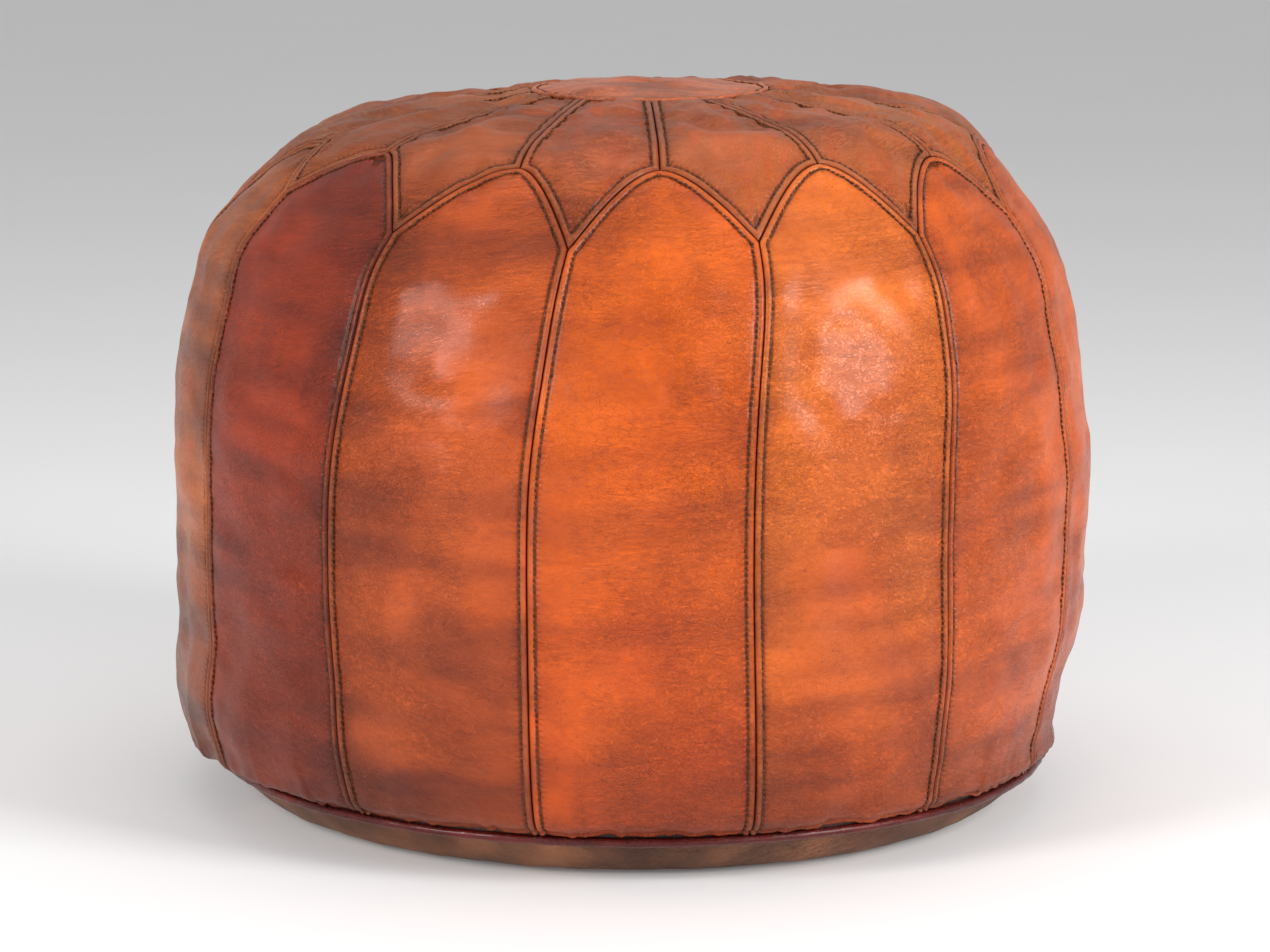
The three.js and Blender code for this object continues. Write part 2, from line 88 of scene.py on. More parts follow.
SUNK = 1.6 * MM  # the seams lie this far inside the fitted outline; the crowns fill it
PITCH = 3.0 * MM  # one stitch
ROW = 4.0 * MM  # a row of stitches from the join


def spline(x, y):
    """a natural cubic through the points, as a function"""
    x, y = np.asarray(x, float), np.asarray(y, float)
    n = len(x)
    h = np.diff(x)
    A = np.zeros((n, n))
    rhs = np.zeros(n)
    A[0, 0] = A[-1, -1] = 1
    for i in range(1, n - 1):
        A[i, i - 1], A[i, i], A[i, i + 1] = h[i - 1], 2 * (h[i - 1] + h[i]), h[i]
        rhs[i] = 6 * ((y[i + 1] - y[i]) / h[i] - (y[i] - y[i - 1]) / h[i - 1])
    m = np.linalg.solve(A, rhs)

    def f(t):
        t = np.clip(np.asarray(t, float), x[0], x[-1])
        i = np.clip(np.searchsorted(x, t, side="right") - 1, 0, n - 2)
        d, hi = t - x[i], h[i]
        return (y[i] + d * ((y[i + 1] - y[i]) / hi - hi * (2 * m[i] + m[i + 1]) / 6)
                + d * d * m[i] / 2 + d ** 3 * (m[i + 1] - m[i]) / (6 * hi))
    return f


_p = np.array(PROFILE) * R
_len = np.concatenate([[0], np.cumsum(np.hypot(*np.diff(_p, axis=0).T))])
_t = np.linspace(0, _len[-1], 3001)
PR, PZ = spline(_len, _p[:, 0])(_t), spline(_len, _p[:, 1])(_t)
PZ = np.maximum.accumulate(PZ)
_dr, _dz = np.gradient(PR), np.gradient(PZ)
_n = np.hypot(_dr, _dz)
PNR, PNZ = _dz / _n, -_dr / _n
PS = _t  # distance along the outline
_wide = int(np.argmax(PR))


def at_z(z):
    return tuple(np.interp(z, PZ, q) for q in (PR, PNR, PNZ, PS))


def at_r(r):
    s = slice(_wide, None)
    return tuple(np.interp(-r, -PR[s], q[s]) for q in (PZ, PNR, PNZ, PS))


_seams = [spline(SEAM_Z, row) for row in SEAM_AZ]


def seam_az(k, z):
    k, z = np.broadcast_arrays(k, z)
    out = np.empty(k.shape)
    h = np.clip(z / R, SEAM_Z[0], SEAM_Z[-1])
    for i in range(N):
        m = (k % N) == i
        if m.any():
            out[m] = _seams[i](h[m])
    return out + 360.0 * np.floor_divide(k, N)


def ring(table, k, step=0.0):
    return table[k % N] + step * np.floor_divide(k, N)


LOW = PROFILE[0][1] * R


def rise(t):
    return 1 - np.power(np.clip(1 - t, 0, 1), ARCH_POWER)


def smooth(lo, hi, x):
    t = np.clip((x - lo) / (hi - lo), 0, 1)
    return t * t * (3 - 2 * t)


def settle(P):
    """how the stuffed cover has settled: a low bulge at -X, a slimmer +X, the top leaning"""
    x, y, z = P[..., 0], P[..., 1], P[..., 2]
    h, r = z / R, np.maximum(np.hypot(x, y), 1e-9)
    left, right = np.clip(-x / r, 0, 1) ** 2, np.clip(x / r, 0, 1) ** 2
    f = (1 + 0.034 * left * smooth(0.095, 0.125, h) * (1 - smooth(0.24, 0.42, h))
         - 0.023 * right * smooth(0.11, 0.18, h) * (1 - smooth(0.26, 0.44, h))
         - 0.016 * right * smooth(0.74, 0.9, h) * (1 - smooth(1.05, 1.22, h))
         + 0.02 * left * smooth(1.12, 1.3, h) * (1 - smooth(1.4, 1.5, h))
         - 0.014 * right * smooth(1.16, 1.28, h) * (1 - smooth(1.36, 1.46, h))
         + 0.022 * (left + right) * smooth(0.72, 0.8, r / R) * (1 - smooth(0.09, 0.16, h)))
    lift = 0.032 * x * smooth(0.15, 0.32, r / R) + 0.004 * R
    return np.stack([x * f, y * f, z + lift * smooth(1.1, 1.5, h)], -1)


def S(a, b):
    """the outline's surface. a counts side seams round the pouf, with arch points at the halves.
    b is 0 at the welt, 1 at the valleys, 2 at the arch points, 3 at the centre piece's edge, 4 at its middle.
    Gives points, outward normals, and lay: metres round and metres up, for grain."""
    a, b = np.broadcast_arrays(np.asarray(a, float), np.asarray(b, float))
    shape = a.shape
    a, b = a.ravel(), b.ravel()
    k = np.floor(a).astype(int)
    u = a - k
    av0, av1 = ring(SEAM_AZ[:, -1], k, 360), ring(SEAM_AZ[:, -1], k + 1, 360)
    aa = ring(APEX_AZ, k, 360)
    top = np.where(u < 0.5, av0 + (aa - av0) * 2 * u, aa + (av1 - aa) * (2 * u - 1))
    share = (top - av0) / (av1 - av0)
    zv = (ring(VALLEY_Z, k) * (1 - u) + ring(VALLEY_Z, k + 1) * u) * R
    j = np.floor(a - 0.5).astype(int)
    w = a - 0.5 - j
    za = (ring(APEX_Z, j) * (1 - w) + ring(APEX_Z, j + 1) * w) * R
    z = np.where(b <= 1, LOW + (zv - LOW) * np.clip(b, -0.02, 1), zv + (za - zv) * np.clip(b - 1, 0, 1))
    az = np.where(b <= 1, seam_az(k, z) * (1 - share) + seam_az(k + 1, z) * share, top)
    r, nr, nz, s = at_z(z)
    x, y = r * np.sin(np.radians(az)), -r * np.cos(np.radians(az))
    hi = b > 2
    if hi.any():
        am = np.radians(ring(CENTRE_AZ, j, 360) * (1 - w) + ring(CENTRE_AZ, j + 1, 360) * w)[hi]
        mx, my = CENTRE[0] + CENTRE_R * np.sin(am), CENTRE[1] - CENTRE_R * np.cos(am)
        t = np.clip(b[hi] - 2, 0, 1)
        q = np.clip(b[hi] - 3, 0, 1)
        hx, hy = x[hi] * (1 - t) + mx * t, y[hi] * (1 - t) + my * t
        hx, hy = hx * (1 - q) + CENTRE[0] * q, hy * (1 - q) + CENTRE[1] * q
        rr = np.hypot(hx, hy)
        zz, nrr, nzz, ss = at_r(rr)
        x[hi], y[hi], z[hi], r[hi], nr[hi], nz[hi], s[hi] = hx, hy, zz, rr, nrr, nzz, ss
    c, d = x / np.maximum(r, 1e-9), y / np.maximum(r, 1e-9)
    P = np.stack([x, y, z], 1)
    M = np.stack([nr * c, nr * d, nz], 1)
    P = settle(P - M * SUNK)
    lay = np.stack([np.radians(az) * np.maximum(r, 0.3 * R), s, np.zeros_like(s)], 1)
    return P.reshape(shape + (3,)), M.reshape(shape + (3,)), lay.reshape(shape + (3,))


def chain(parts):
    """one seam line from stretches of (a, b), as points, normals and distances along it"""
    a = np.concatenate([p[0] if i == 0 else p[0][1:] for i, p in enumerate(parts)])
    b = np.concatenate([p[1] if i == 0 else p[1][1:] for i, p in enumerate(parts)])
    P, M, _ = S(a, b)
    s = np.concatenate([[0], np.cumsum(np.linalg.norm(np.diff(P, axis=0), axis=1))])
    return {"a": a, "b": b, "P": P, "M": M, "s": s}


def side_line(k, n=110):
    return np.full(n, float(k)), np.linspace(-0.009, 1, n)


def arch_line(k, right, n=30):
    t = np.linspace(0, 1, n)
    return (k + 1 - t / 2 if right else k + t / 2), 1 + rise(t)


def radial_line(k, n=40):
    return np.full(n, k + 0.5), np.linspace(2, 3, n)


def to_chain(P, ch):
    """distance from each point to a seam line, and how far along it"""
    A, B = ch["P"][:-1], ch["P"][1:]
    D = B - A
    L2 = (D ** 2).sum(1)
    best = np.full(len(P), 1e9)
    along = np.zeros(len(P))
    for lo in range(0, len(P), 4000):
        q = P[lo:lo + 4000]
        w = q[:, None, :] - A[None]
        t = np.clip((w * D[None]).sum(2) / L2[None], 0, 1)
        dist = np.linalg.norm(w - t[..., None] * D[None], axis=2)
        i = dist.argmin(1)
        rows = np.arange(len(q))
        best[lo:lo + 4000] = dist[rows, i]
        along[lo:lo + 4000] = ch["s"][i] + t[rows, i] * np.sqrt(L2[i])
    return best, along


# ------------------------------------------------------------------ smooth noise
class Waves:
    """a sum of plane waves in random directions, smooth and the same each run"""

    def __init__(self, seed, short, long, n=14, dims=3):
        g = np.random.default_rng(seed)
        v = g.normal(size=(n, dims))
        v /= np.linalg.norm(v, axis=1)[:, None]
        lam = np.exp(g.uniform(math.log(short), math.log(long), n))
        self.k = 2 * math.pi * v / lam[:, None]
        self.phase = g.uniform(0, 2 * math.pi, n)
        self.w = np.sqrt(lam / long)
        self.w /= math.sqrt((self.w ** 2).sum() / 2)

    def __call__(self, P):
        return (np.sin(P @ self.k.T + self.phase) * self.w).sum(-1)



# ------------------------------------------------------------------ cloth simulation of the cover
SIM_A, SIM_B = 14 * 12, [(0, 1, 36), (1, 2, 8), (2, 3, 18), (3, 4, 5)]
_b = np.concatenate([np.linspace(lo, hi, n, endpoint=False) for lo, hi, n in SIM_B])
SIM_ROWS = _b
ALL_SEAMS = [chain([side_line(k), arch_line(k, False)]) for k in range(N)] + \
            [chain([arch_line(k, True)]) for k in range(N)] + \
            [chain([radial_line(k)]) for k in range(N)] + \
            [chain([(np.linspace(0, N, 200), np.full(200, 3.0))])]


def simulate():
    """The cover as one closed skin under pressure, held along its seams, gives each panel its crown and
    its soft folds. Only how far each point moves out or in is kept, as a table over (a, b)."""
    na, nb = SIM_A, len(SIM_ROWS)
    A, B = np.meshgrid(np.arange(na) / 12.0, SIM_ROWS)
    P, M, _ = S(A, B)
    P0, M0 = P.reshape(-1, 3), M.reshape(-1, 3)
    g = np.random.default_rng(11)
    d = np.min([to_chain(P0, c)[0] for c in ALL_SEAMS], axis=0)
    start = P0 + M0 * (0.0006 * Waves(5, 0.02, 0.06)(P0) * smooth(0.002, 0.02, d))[:, None]
    tip, _, _ = S(0.0, 4.0)
    floor_ring = P0[:na] * np.array([0.93, 0.93, 0.0]) + np.array([0, 0, 0.01])
    verts = np.concatenate([start, tip[None], floor_ring, [[0, 0, 0.01]]])
    faces = []
    for j in range(nb - 1):
        for i in range(na):
            i2 = (i + 1) % na
            faces.append((j * na + i, j * na + i2, (j + 1) * na + i2, (j + 1) * na + i))
    t = na * nb
    for i in range(na):
        i2 = (i + 1) % na
        faces.append(((nb - 1) * na + i, (nb - 1) * na + i2, t))
        faces.append((t + 1 + i, t + 1 + i2, i2, i))
        faces.append((t + 1 + i2, t + 1 + i, t + 1 + na))
    me = bpy.data.meshes.new("sim_skin")
    me.from_pydata(verts.tolist(), [], faces)
    o = bpy.data.objects.new("sim_skin", me)
    bpy.context.scene.collection.objects.link(o)
    pin = o.vertex_groups.new(name="pin")
    slack = o.vertex_groups.new(name="slack")
    wpin = np.exp(-(d / 0.0045) ** 2)
    wpin[B.ravel() < 0.02] = 1
    tops = smooth(1.1, 2.1, B.ravel())
    for i, w in enumerate(wpin):
        pin.add([i], float(w), "REPLACE")
        slack.add([i], float(1 - tops[i]), "REPLACE")
    for i in range(t + 1, len(verts)):
        pin.add([i], 1.0, "REPLACE")
    c = o.modifiers.new("Cloth", "CLOTH")
    st = c.settings
    st.quality = 6
    st.mass = 0.3
    st.tension_stiffness = st.compression_stiffness = 40
    st.shear_stiffness = 20
    st.bending_stiffness = 12
    st.tension_damping = st.compression_damping = st.shear_damping = 12
    st.bending_damping = 1
    st.air_damping = 4
    st.vertex_group_mass = "pin"
    st.pin_stiffness = 8
    st.vertex_group_shrink = "slack"
    st.shrink_min = -0.012
    st.shrink_max = -0.002
    st.use_pressure = True
    st.uniform_pressure_force = 4
    st.effector_weights.gravity = 0
    c.collision_settings.use_self_collision = False
    c.collision_settings.use_collision = False
    c.point_cache.frame_start, c.point_cache.frame_end = 1, 24
    sc = bpy.context.scene
    for f in range(1, 25):
        sc.frame_set(f)
    ev = o.evaluated_get(bpy.context.evaluated_depsgraph_get())
    co = np.empty(len(ev.data.vertices) * 3, np.float32)
    ev.data.vertices.foreach_get("co", co)
    co = co.reshape(-1, 3)[:t].astype(float)
    out = ((co - P0) * M0).sum(1)
    bpy.data.objects.remove(o)
    bpy.data.meshes.remove(me)
    sc.frame_set(1)
    out = np.clip(out, -0.004, 0.009) * (1 - 0.6 * smooth(2.7, 3.3, B.ravel()))
    return out.reshape(nb, na)


SKIN_TABLE = simulate()
print("skin table mm: min %.2f mean %.2f max %.2f" % tuple(
    1000 * f(SKIN_TABLE) for f in (np.min, np.mean, np.max)))


def cubic_weights(t):
    """Catmull-Rom weights, so that the table reads back smoothly"""
    return np.stack([
        -0.5 * t + t * t - 0.5 * t ** 3, 1 - 2.5 * t * t + 1.5 * t ** 3,
        0.5 * t + 2 * t * t - 1.5 * t ** 3, -0.5 * t * t + 0.5 * t ** 3], -1)


def crown(a, b):
    x = a * 12.0
    i = np.floor(x).astype(int)
    wx = cubic_weights(x - i)
    y = np.interp(b, SIM_ROWS, np.arange(len(SIM_ROWS)))
    j = np.clip(np.floor(y).astype(int), 0, len(SIM_ROWS) - 1)
    wy = cubic_weights(y - j)
    out = 0
    for q in range(4):
        row = np.clip(j + q - 1, 0, len(SIM_ROWS) - 1)
        out = out + wy[..., q] * sum(
            wx[..., p] * SKIN_TABLE[row, (i + p - 1) % SIM_A] for p in range(4))
    return out


# ------------------------------------------------------------------ meshes
def mesh_object(name, verts, faces, smooth_faces=True):
    me = bpy.data.meshes.new(name)
    me.from_pydata(np.asarray(verts).tolist(), [], faces)
    me.validate()
    me.update()
    if smooth_faces:
        me.polygons.foreach_set("use_smooth", [True] * len(me.polygons))
    o = bpy.data.objects.new(name, me)
    bpy.context.scene.collection.objects.link(o)
    return o


def attribute(o, name, kind, values):
    at = o.data.attributes.new(name, kind, "POINT")
    field = {"FLOAT": "value", "FLOAT_VECTOR": "vector", "FLOAT_COLOR": "color"}[kind]
    at.data.foreach_set(field, np.ascontiguousarray(values, np.float32).ravel())


def graded(total, fine, coarse, edge):
    """positions from 0 to total, close together near both ends"""
    out = [0.0]
    x = 0.0
    while True:
        near = min(x, total - x)
        step = fine + (coarse - fine) * float(smooth(edge * 0.6, edge * 1.8, np.array(near)))
        x += step
        if x > total - fine * 0.6:
            break
        out.append(x)
    out.append(total)
    return np.array(out) / total


def shell_object(name, P, M, depth, extra, every=(6, 5)):
    """a closed shell from an outer grid: its edges turn under, and its hidden inner face is coarser.
    extra holds per-vertex values of the outer grid, which the inner one repeats."""
    nr, nc = P.shape[:2]
    ri = sorted(set(list(range(0, nr, every[0])) + [nr - 1]))
    ci = sorted(set(list(range(0, nc, every[1])) + [nc - 1]))
    outer = P.reshape(-1, 3)
    inner = (P - M * depth)[np.ix_(ri, ci)].reshape(-1, 3)
    base = nr * nc
    idx = np.arange(base).reshape(nr, nc)
    inn = base + np.arange(len(ri) * len(ci)).reshape(len(ri), len(ci))
    faces = np.stack([idx[:-1, :-1], idx[:-1, 1:], idx[1:, 1:], idx[1:, :-1]], -1).reshape(-1, 4).tolist()
    faces += np.stack([inn[:-1, :-1], inn[1:, :-1], inn[1:, 1:], inn[:-1, 1:]], -1).reshape(-1, 4).tolist()
    for q in range(len(ci) - 1):
        c0, c1 = ci[q], ci[q + 1]
        faces.append([int(inn[0, q]), int(inn[0, q + 1])] + [int(v) for v in idx[0, c0:c1 + 1][::-1]])
        faces.append([int(inn[-1, q + 1]), int(inn[-1, q])] + [int(v) for v in idx[-1, c0:c1 + 1]])
    for q in range(len(ri) - 1):
        r0, r1 = ri[q], ri[q + 1]
        faces.append([int(inn[q + 1, 0]), int(inn[q, 0])] + [int(v) for v in idx[r0:r1 + 1, 0]])
        faces.append([int(inn[q, -1]), int(inn[q + 1, -1])] + [int(v) for v in idx[r0:r1 + 1, -1][::-1]])
    o = mesh_object(name, np.concatenate([outer, inner]), faces)
    for key, (kind, values) in extra.items():
        v = np.asarray(values)
        tail = v[np.ix_(ri, ci)].reshape((-1,) + v.shape[2:])
        attribute(o, key, kind, np.concatenate([v.reshape((-1,) + v.shape[2:]), tail]))
    return o


def seam_relief(d):
    """height across a sewn join, d from its middle: groove, folded ridge, furrow of the stitch row"""
    mm = d / MM
    out = -1.0 * np.clip(1 - mm / 0.62, 0, 1) ** 1.1
    out += 0.62 * np.where((mm > 0.2) & (mm < 3.7), np.sin(np.pi * np.clip((mm - 0.2) / 3.5, 0, 1)), 0)
    out += -0.55 * np.exp(-((mm - 4.05) / 0.8) ** 2)
    out += -0.35 * np.exp(-np.clip(mm - 4.0, 0, None) / 4.0) * (mm > 4)
    return out * MM


def along_noise(seed, s):
    g = np.random.default_rng(seed)
    out = 0
    for lam, w in ((6.3, 0.5), (8.9, 0.7), (12.1, 0.8), (17.5, 0.8), (31, 0.6)):
        lam *= g.uniform(0.9, 1.12)
        out = out + w * np.sin(2 * np.pi * s / (lam * MM) + g.uniform(0, 6.28))
    return out / 1.5


UNDULATE = Waves(21, 0.035, 0.11)
RIPPLE = Waves(22, 0.014, 0.03)


def srgb(*c):
    c = np.array(c, float) / 255
    return np.where(c <= 0.04045, c / 12.92, ((c + 0.055) / 1.055) ** 2.4)


# how each side panel was dyed: upper and lower colour, and how smudged it is; the lower colour is also made darker as
# painted shade at the foot
SIDE_DYE_AND_SHADE = [
    ((216, 95, 6), (206, 82, 8), 0.4),
    ((222, 110, 42), (190, 80, 24), 0.55),
    ((202, 88, 20), (196, 84, 26), 0.5),
    ((204, 92, 34), (178, 74, 28), 0.5),
    ((190, 82, 34), (168, 68, 26), 0.6),
    ((212, 92, 24), (184, 74, 20), 0.45),
    ((180, 72, 26), (152, 56, 20), 0.7),
    ((214, 98, 30), (190, 78, 24), 0.4),
    ((200, 84, 26), (172, 68, 22), 0.55),
    ((172, 66, 24), (150, 56, 20), 0.7),
    ((208, 92, 28), (178, 72, 24), 0.45),
    ((178, 92, 50), (138, 62, 28), 0.75),
    ((152, 48, 4), (144, 48, 8), 0.65),
    ((198, 86, 32), (164, 66, 18), 0.8),
]
PETAL_DYE = [
    (186, 86, 40), (188, 92, 44), (184, 92, 48), (186, 98, 52), (176, 90, 50), (184, 90, 44), (176, 84, 42),
    (182, 90, 46), (172, 86, 44), (188, 94, 46), (180, 92, 48), (188, 104, 58), (184, 98, 52), (178, 86, 42)]


def side_panel(k):
    width = 0.112
    u = graded(width, 0.65 * MM, 3.2 * MM, 8 * MM)
    u = 0.0006 + u * (1 - 0.0012)
    rows = [0.0]
    x, total = 0.0, 0.335
    while x < total:
        near = total - x
        low = x
        step = 2.6 * MM
        if near < 22 * MM:
            step = 0.75 * MM + 1.85 * MM * float(smooth(0.012, 0.022, np.array(near)))
        if low < 6 * MM:
            step = 0.9 * MM
        x += step
        rows.append(min(x, total))
    v = np.array(rows) / total
    U, V = np.meshgrid(u, v)
    tau = 1 - np.abs(2 * U - 1)
    topb = 1 + rise(tau)
    # in distance along the surface, b in 0..1 is about 300 mm and 1..2 about 47 mm
    reach = 0.303 + 0.047 * (topb - 1)
    dist = V * (reach + 2.2 * MM) - 2.4 * MM
    b = np.where(dist <= 0.303, dist / 0.303, 1 + (dist - 0.303) / 0.047)
    a = k + U
    P, M, lay = S(a, b)
    flat = P.reshape(-1, 3)
    cl = chain([side_line(k), arch_line(k, False)])
    cr = chain([side_line(k + 1), arch_line(k, True)])
    (dl, sl), (dr, sr) = to_chain(flat, cl), to_chain(flat, cr)
    shape = P.shape[:2]
    dl, sl, dr, sr = (q.reshape(shape) for q in (dl, sl, dr, sr))
    d = np.minimum(dl, dr)
    s = np.where(dl <= dr, sl, sr + 0.5)
    h = crown(a, b)
    near = np.exp(-np.clip(d - 3.6 * MM, 0, None) / (7 * MM)) * smooth(2.6 * MM, 4.2 * MM, d)
    h = h + 0.26 * MM * near * (along_noise(100 + k, s))
    inside = smooth(3 * MM, 22 * MM, d)
    h = h + inside * (0.28 * MM * UNDULATE(P * np.array([1, 1, 1.5])) + 0.09 * MM * RIPPLE(P * np.array([1, 1, 2.2])))
    h = h + seam_relief(d)
    # the lower edge rolls in to the welt
    low = dist / MM
    h = h - 1.6 * MM * np.clip(1 - low / 3.0, 0, 1) ** 1.6 + 0.5 * MM * np.exp(-((low - 6) / 4) ** 2) * smooth(2 * MM, 6 * MM, d)
    h = h + 0.5 * MM * np.exp(-low / 18) * along_noise(300 + k, (U * width)) * inside
    up, down, smudge = SIDE_DYE_AND_SHADE[k]
    depth = np.array([1.0, 0.96, 0.45])
    g = np.random.default_rng(700 + k)
    hgt = P[..., 2] / (1.45 * R)
    # the lower colour, darker partly as painted shade, takes over towards the bottom
    mix = smooth(0.08, 0.75, hgt + 0.12 * Waves(800 + k, 0.05, 0.18)(P))[..., None]
    col = srgb(*down) * (1 - mix) + srgb(*up) * mix
    bands = Waves(900 + k, 0.03, 0.09)(P * np.array([0.35, 0.35, 2.4]))
    brown = np.array([0.85, 1.0, 1.1])
    col = col * np.exp(-smudge * 0.34 * np.clip(bands + 0.25 * Waves(930 + k, 0.012, 0.035)(P * np.array([0.5, 0.5, 1.8])), -0.3, 1.8)[..., None] * brown)
    # painted shade: the colour is darkened towards the foot, to take back the light bounced up from the floor
    col = col * depth * (1 - 0.3 * smooth(0.26, 0.06, hgt + 0.03 * Waves(760 + k, 0.03, 0.1)(P)))[..., None]
    edge = np.exp(-d / (11 * MM))[..., None]
    col = col * (1 - 0.36 * edge * np.array([0.8, 1.0, 1.0]) * (0.65 + 0.35 * Waves(950 + k, 0.02, 0.05)(P))[..., None])
    P = P + M * h[..., None]
    extra = {
        "tone": ("FLOAT_COLOR", np.concatenate([np.clip(col, 0, 1), np.ones(shape + (1,))], -1)),
        "seam_d": ("FLOAT", d / MM), "seam_s": ("FLOAT", s / PITCH), "lay": ("FLOAT_VECTOR", lay)}
    o = shell_object(f"leather_side_{k + 1:02d}", P, M, 1.1 * MM, extra)
    return o, [cl, cr]


def petal(p):
    width = 0.09
    c = graded(width, 0.65 * MM, 2.8 * MM, 8 * MM)
    c = -0.5 + 0.0008 + c * (1 - 0.0016)
    full = 0.047 + 0.117
    v = [0.0]
    x = 0.0
    while x < full:
        step = 0.8 * MM + 1.5 * MM * float(smooth(0.016, 0.04, np.array(x)))
        if full - x < 10 * MM:
            step = 0.9 * MM
        x += step
        v.append(min(x, full))
    v = np.array(v) / full
    C, V = np.meshgrid(c, v)
    a = p + C
    start = 0.047 * rise(2 * np.abs(C))
    dist = start + 0.22 * MM + V * (full - start - 0.55 * MM)
    b = np.where(dist <= 0.047, 1 + dist / 0.047, 2 + (dist - 0.047) / 0.117)
    P, M, lay = S(a, b)
    shape = P.shape[:2]
    flat = P.reshape(-1, 3)
    cl = chain([arch_line(p - 1, True), radial_line(p - 1)])
    cr = chain([arch_line(p, False), radial_line(p)])
    cm = chain([(np.linspace(p - 0.7, p + 0.7, 40), np.full(40, 3.0))])
    (dl, sl), (dr, sr), (dm, _) = to_chain(flat, cl), to_chain(flat, cr), to_chain(flat, cm)
    dl, sl, dr, sr, dm = (q.reshape(shape) for q in (dl, sl, dr, sr, dm))
    d = np.minimum(dl, dr)
    s = np.where(dl <= dr, sl, sr + 0.5)
    h = crown(a, b)
    g = np.random.default_rng(400 + p)
    inside = smooth(3.5 * MM, 16 * MM, d)
    t = dist / full
    fold = 0
    for f, w in ((1.1, 0.8), (1.9, 0.7), (2.9, 0.45), (4.3, 0.3)):
        fold = fold + w * np.sin(2 * np.pi * (C * f * g.uniform(0.85, 1.15) + t * g.uniform(-0.9, 0.9)) + g.uniform(0, 6.28))
    h = h + 0.75 * MM * fold * inside * (0.35 + 0.65 * smooth(0.2, 0.6, t))
    # cross wrinkles in the wedge between two arches
    y = dist - 3 * MM
    wav = np.sin(2 * np.pi * y / (5.6 * MM) + 1.1 * np.sin(2 * np.pi * C * 3 + g.uniform(0, 6.28)) + g.uniform(0, 6.28))
    wav = wav + 0.6 * np.sin(2 * np.pi * y / (8.7 * MM) + 1.7 * np.sin(2 * np.pi * C * 2 + g.uniform(0, 6.28)) + g.uniform(0, 6.28))
    h = h + 0.42 * MM * wav * smooth(3.6 * MM, 7 * MM, d) * np.exp(-np.clip(y - 0.008, 0, None) / 0.017)
    near = np.exp(-np.clip(d - 3.6 * MM, 0, None) / (8 * MM)) * smooth(2.6 * MM, 4.2 * MM, d)
    h = h + 0.32 * MM * near * along_noise(500 + p, s)
    h = h + inside * (0.35 * MM * UNDULATE(P) + 0.15 * MM * RIPPLE(P))
    h = h + seam_relief(d)
    h = h - 1.2 * MM * np.clip(1 - dm / (3 * MM), 0, 1) ** 1.4
    col = np.broadcast_to(srgb(*PETAL_DYE[p]), shape + (3,)).copy()
    streak = Waves(1200 + p, 0.012, 0.05)(np.stack([lay[..., 0] * 2.2, lay[..., 1] * 0.4, 0 * d], -1))
    warm = smooth(-0.2, 1.4, streak)[..., None]
    col = col * (1 - 0.5 * warm) + srgb(200, 84, 30) * 0.5 * warm
    tip = np.exp(-np.clip(dist - 0.01, 0, None) / 0.02)[..., None]
    col = col * (1 - 0.3 * tip) + srgb(196, 84, 34) * 0.3 * tip
    col = col * np.array([0.92, 0.92, 0.6])
    edge = np.exp(-d / (10 * MM))[..., None]
    col = col * (1 - 0.26 * edge)
    P = P + M * h[..., None]
    extra = {
        "tone": ("FLOAT_COLOR", np.concatenate([np.clip(col, 0, 1), np.ones(shape + (1,))], -1)),
        "seam_d": ("FLOAT", d / MM), "seam_s": ("FLOAT", s / PITCH), "lay": ("FLOAT_VECTOR", lay)}
    o = shell_object(f"leather_petal_{p + 1:02d}", P, M, 1.1 * MM, extra)
    return o, [cl, cr]


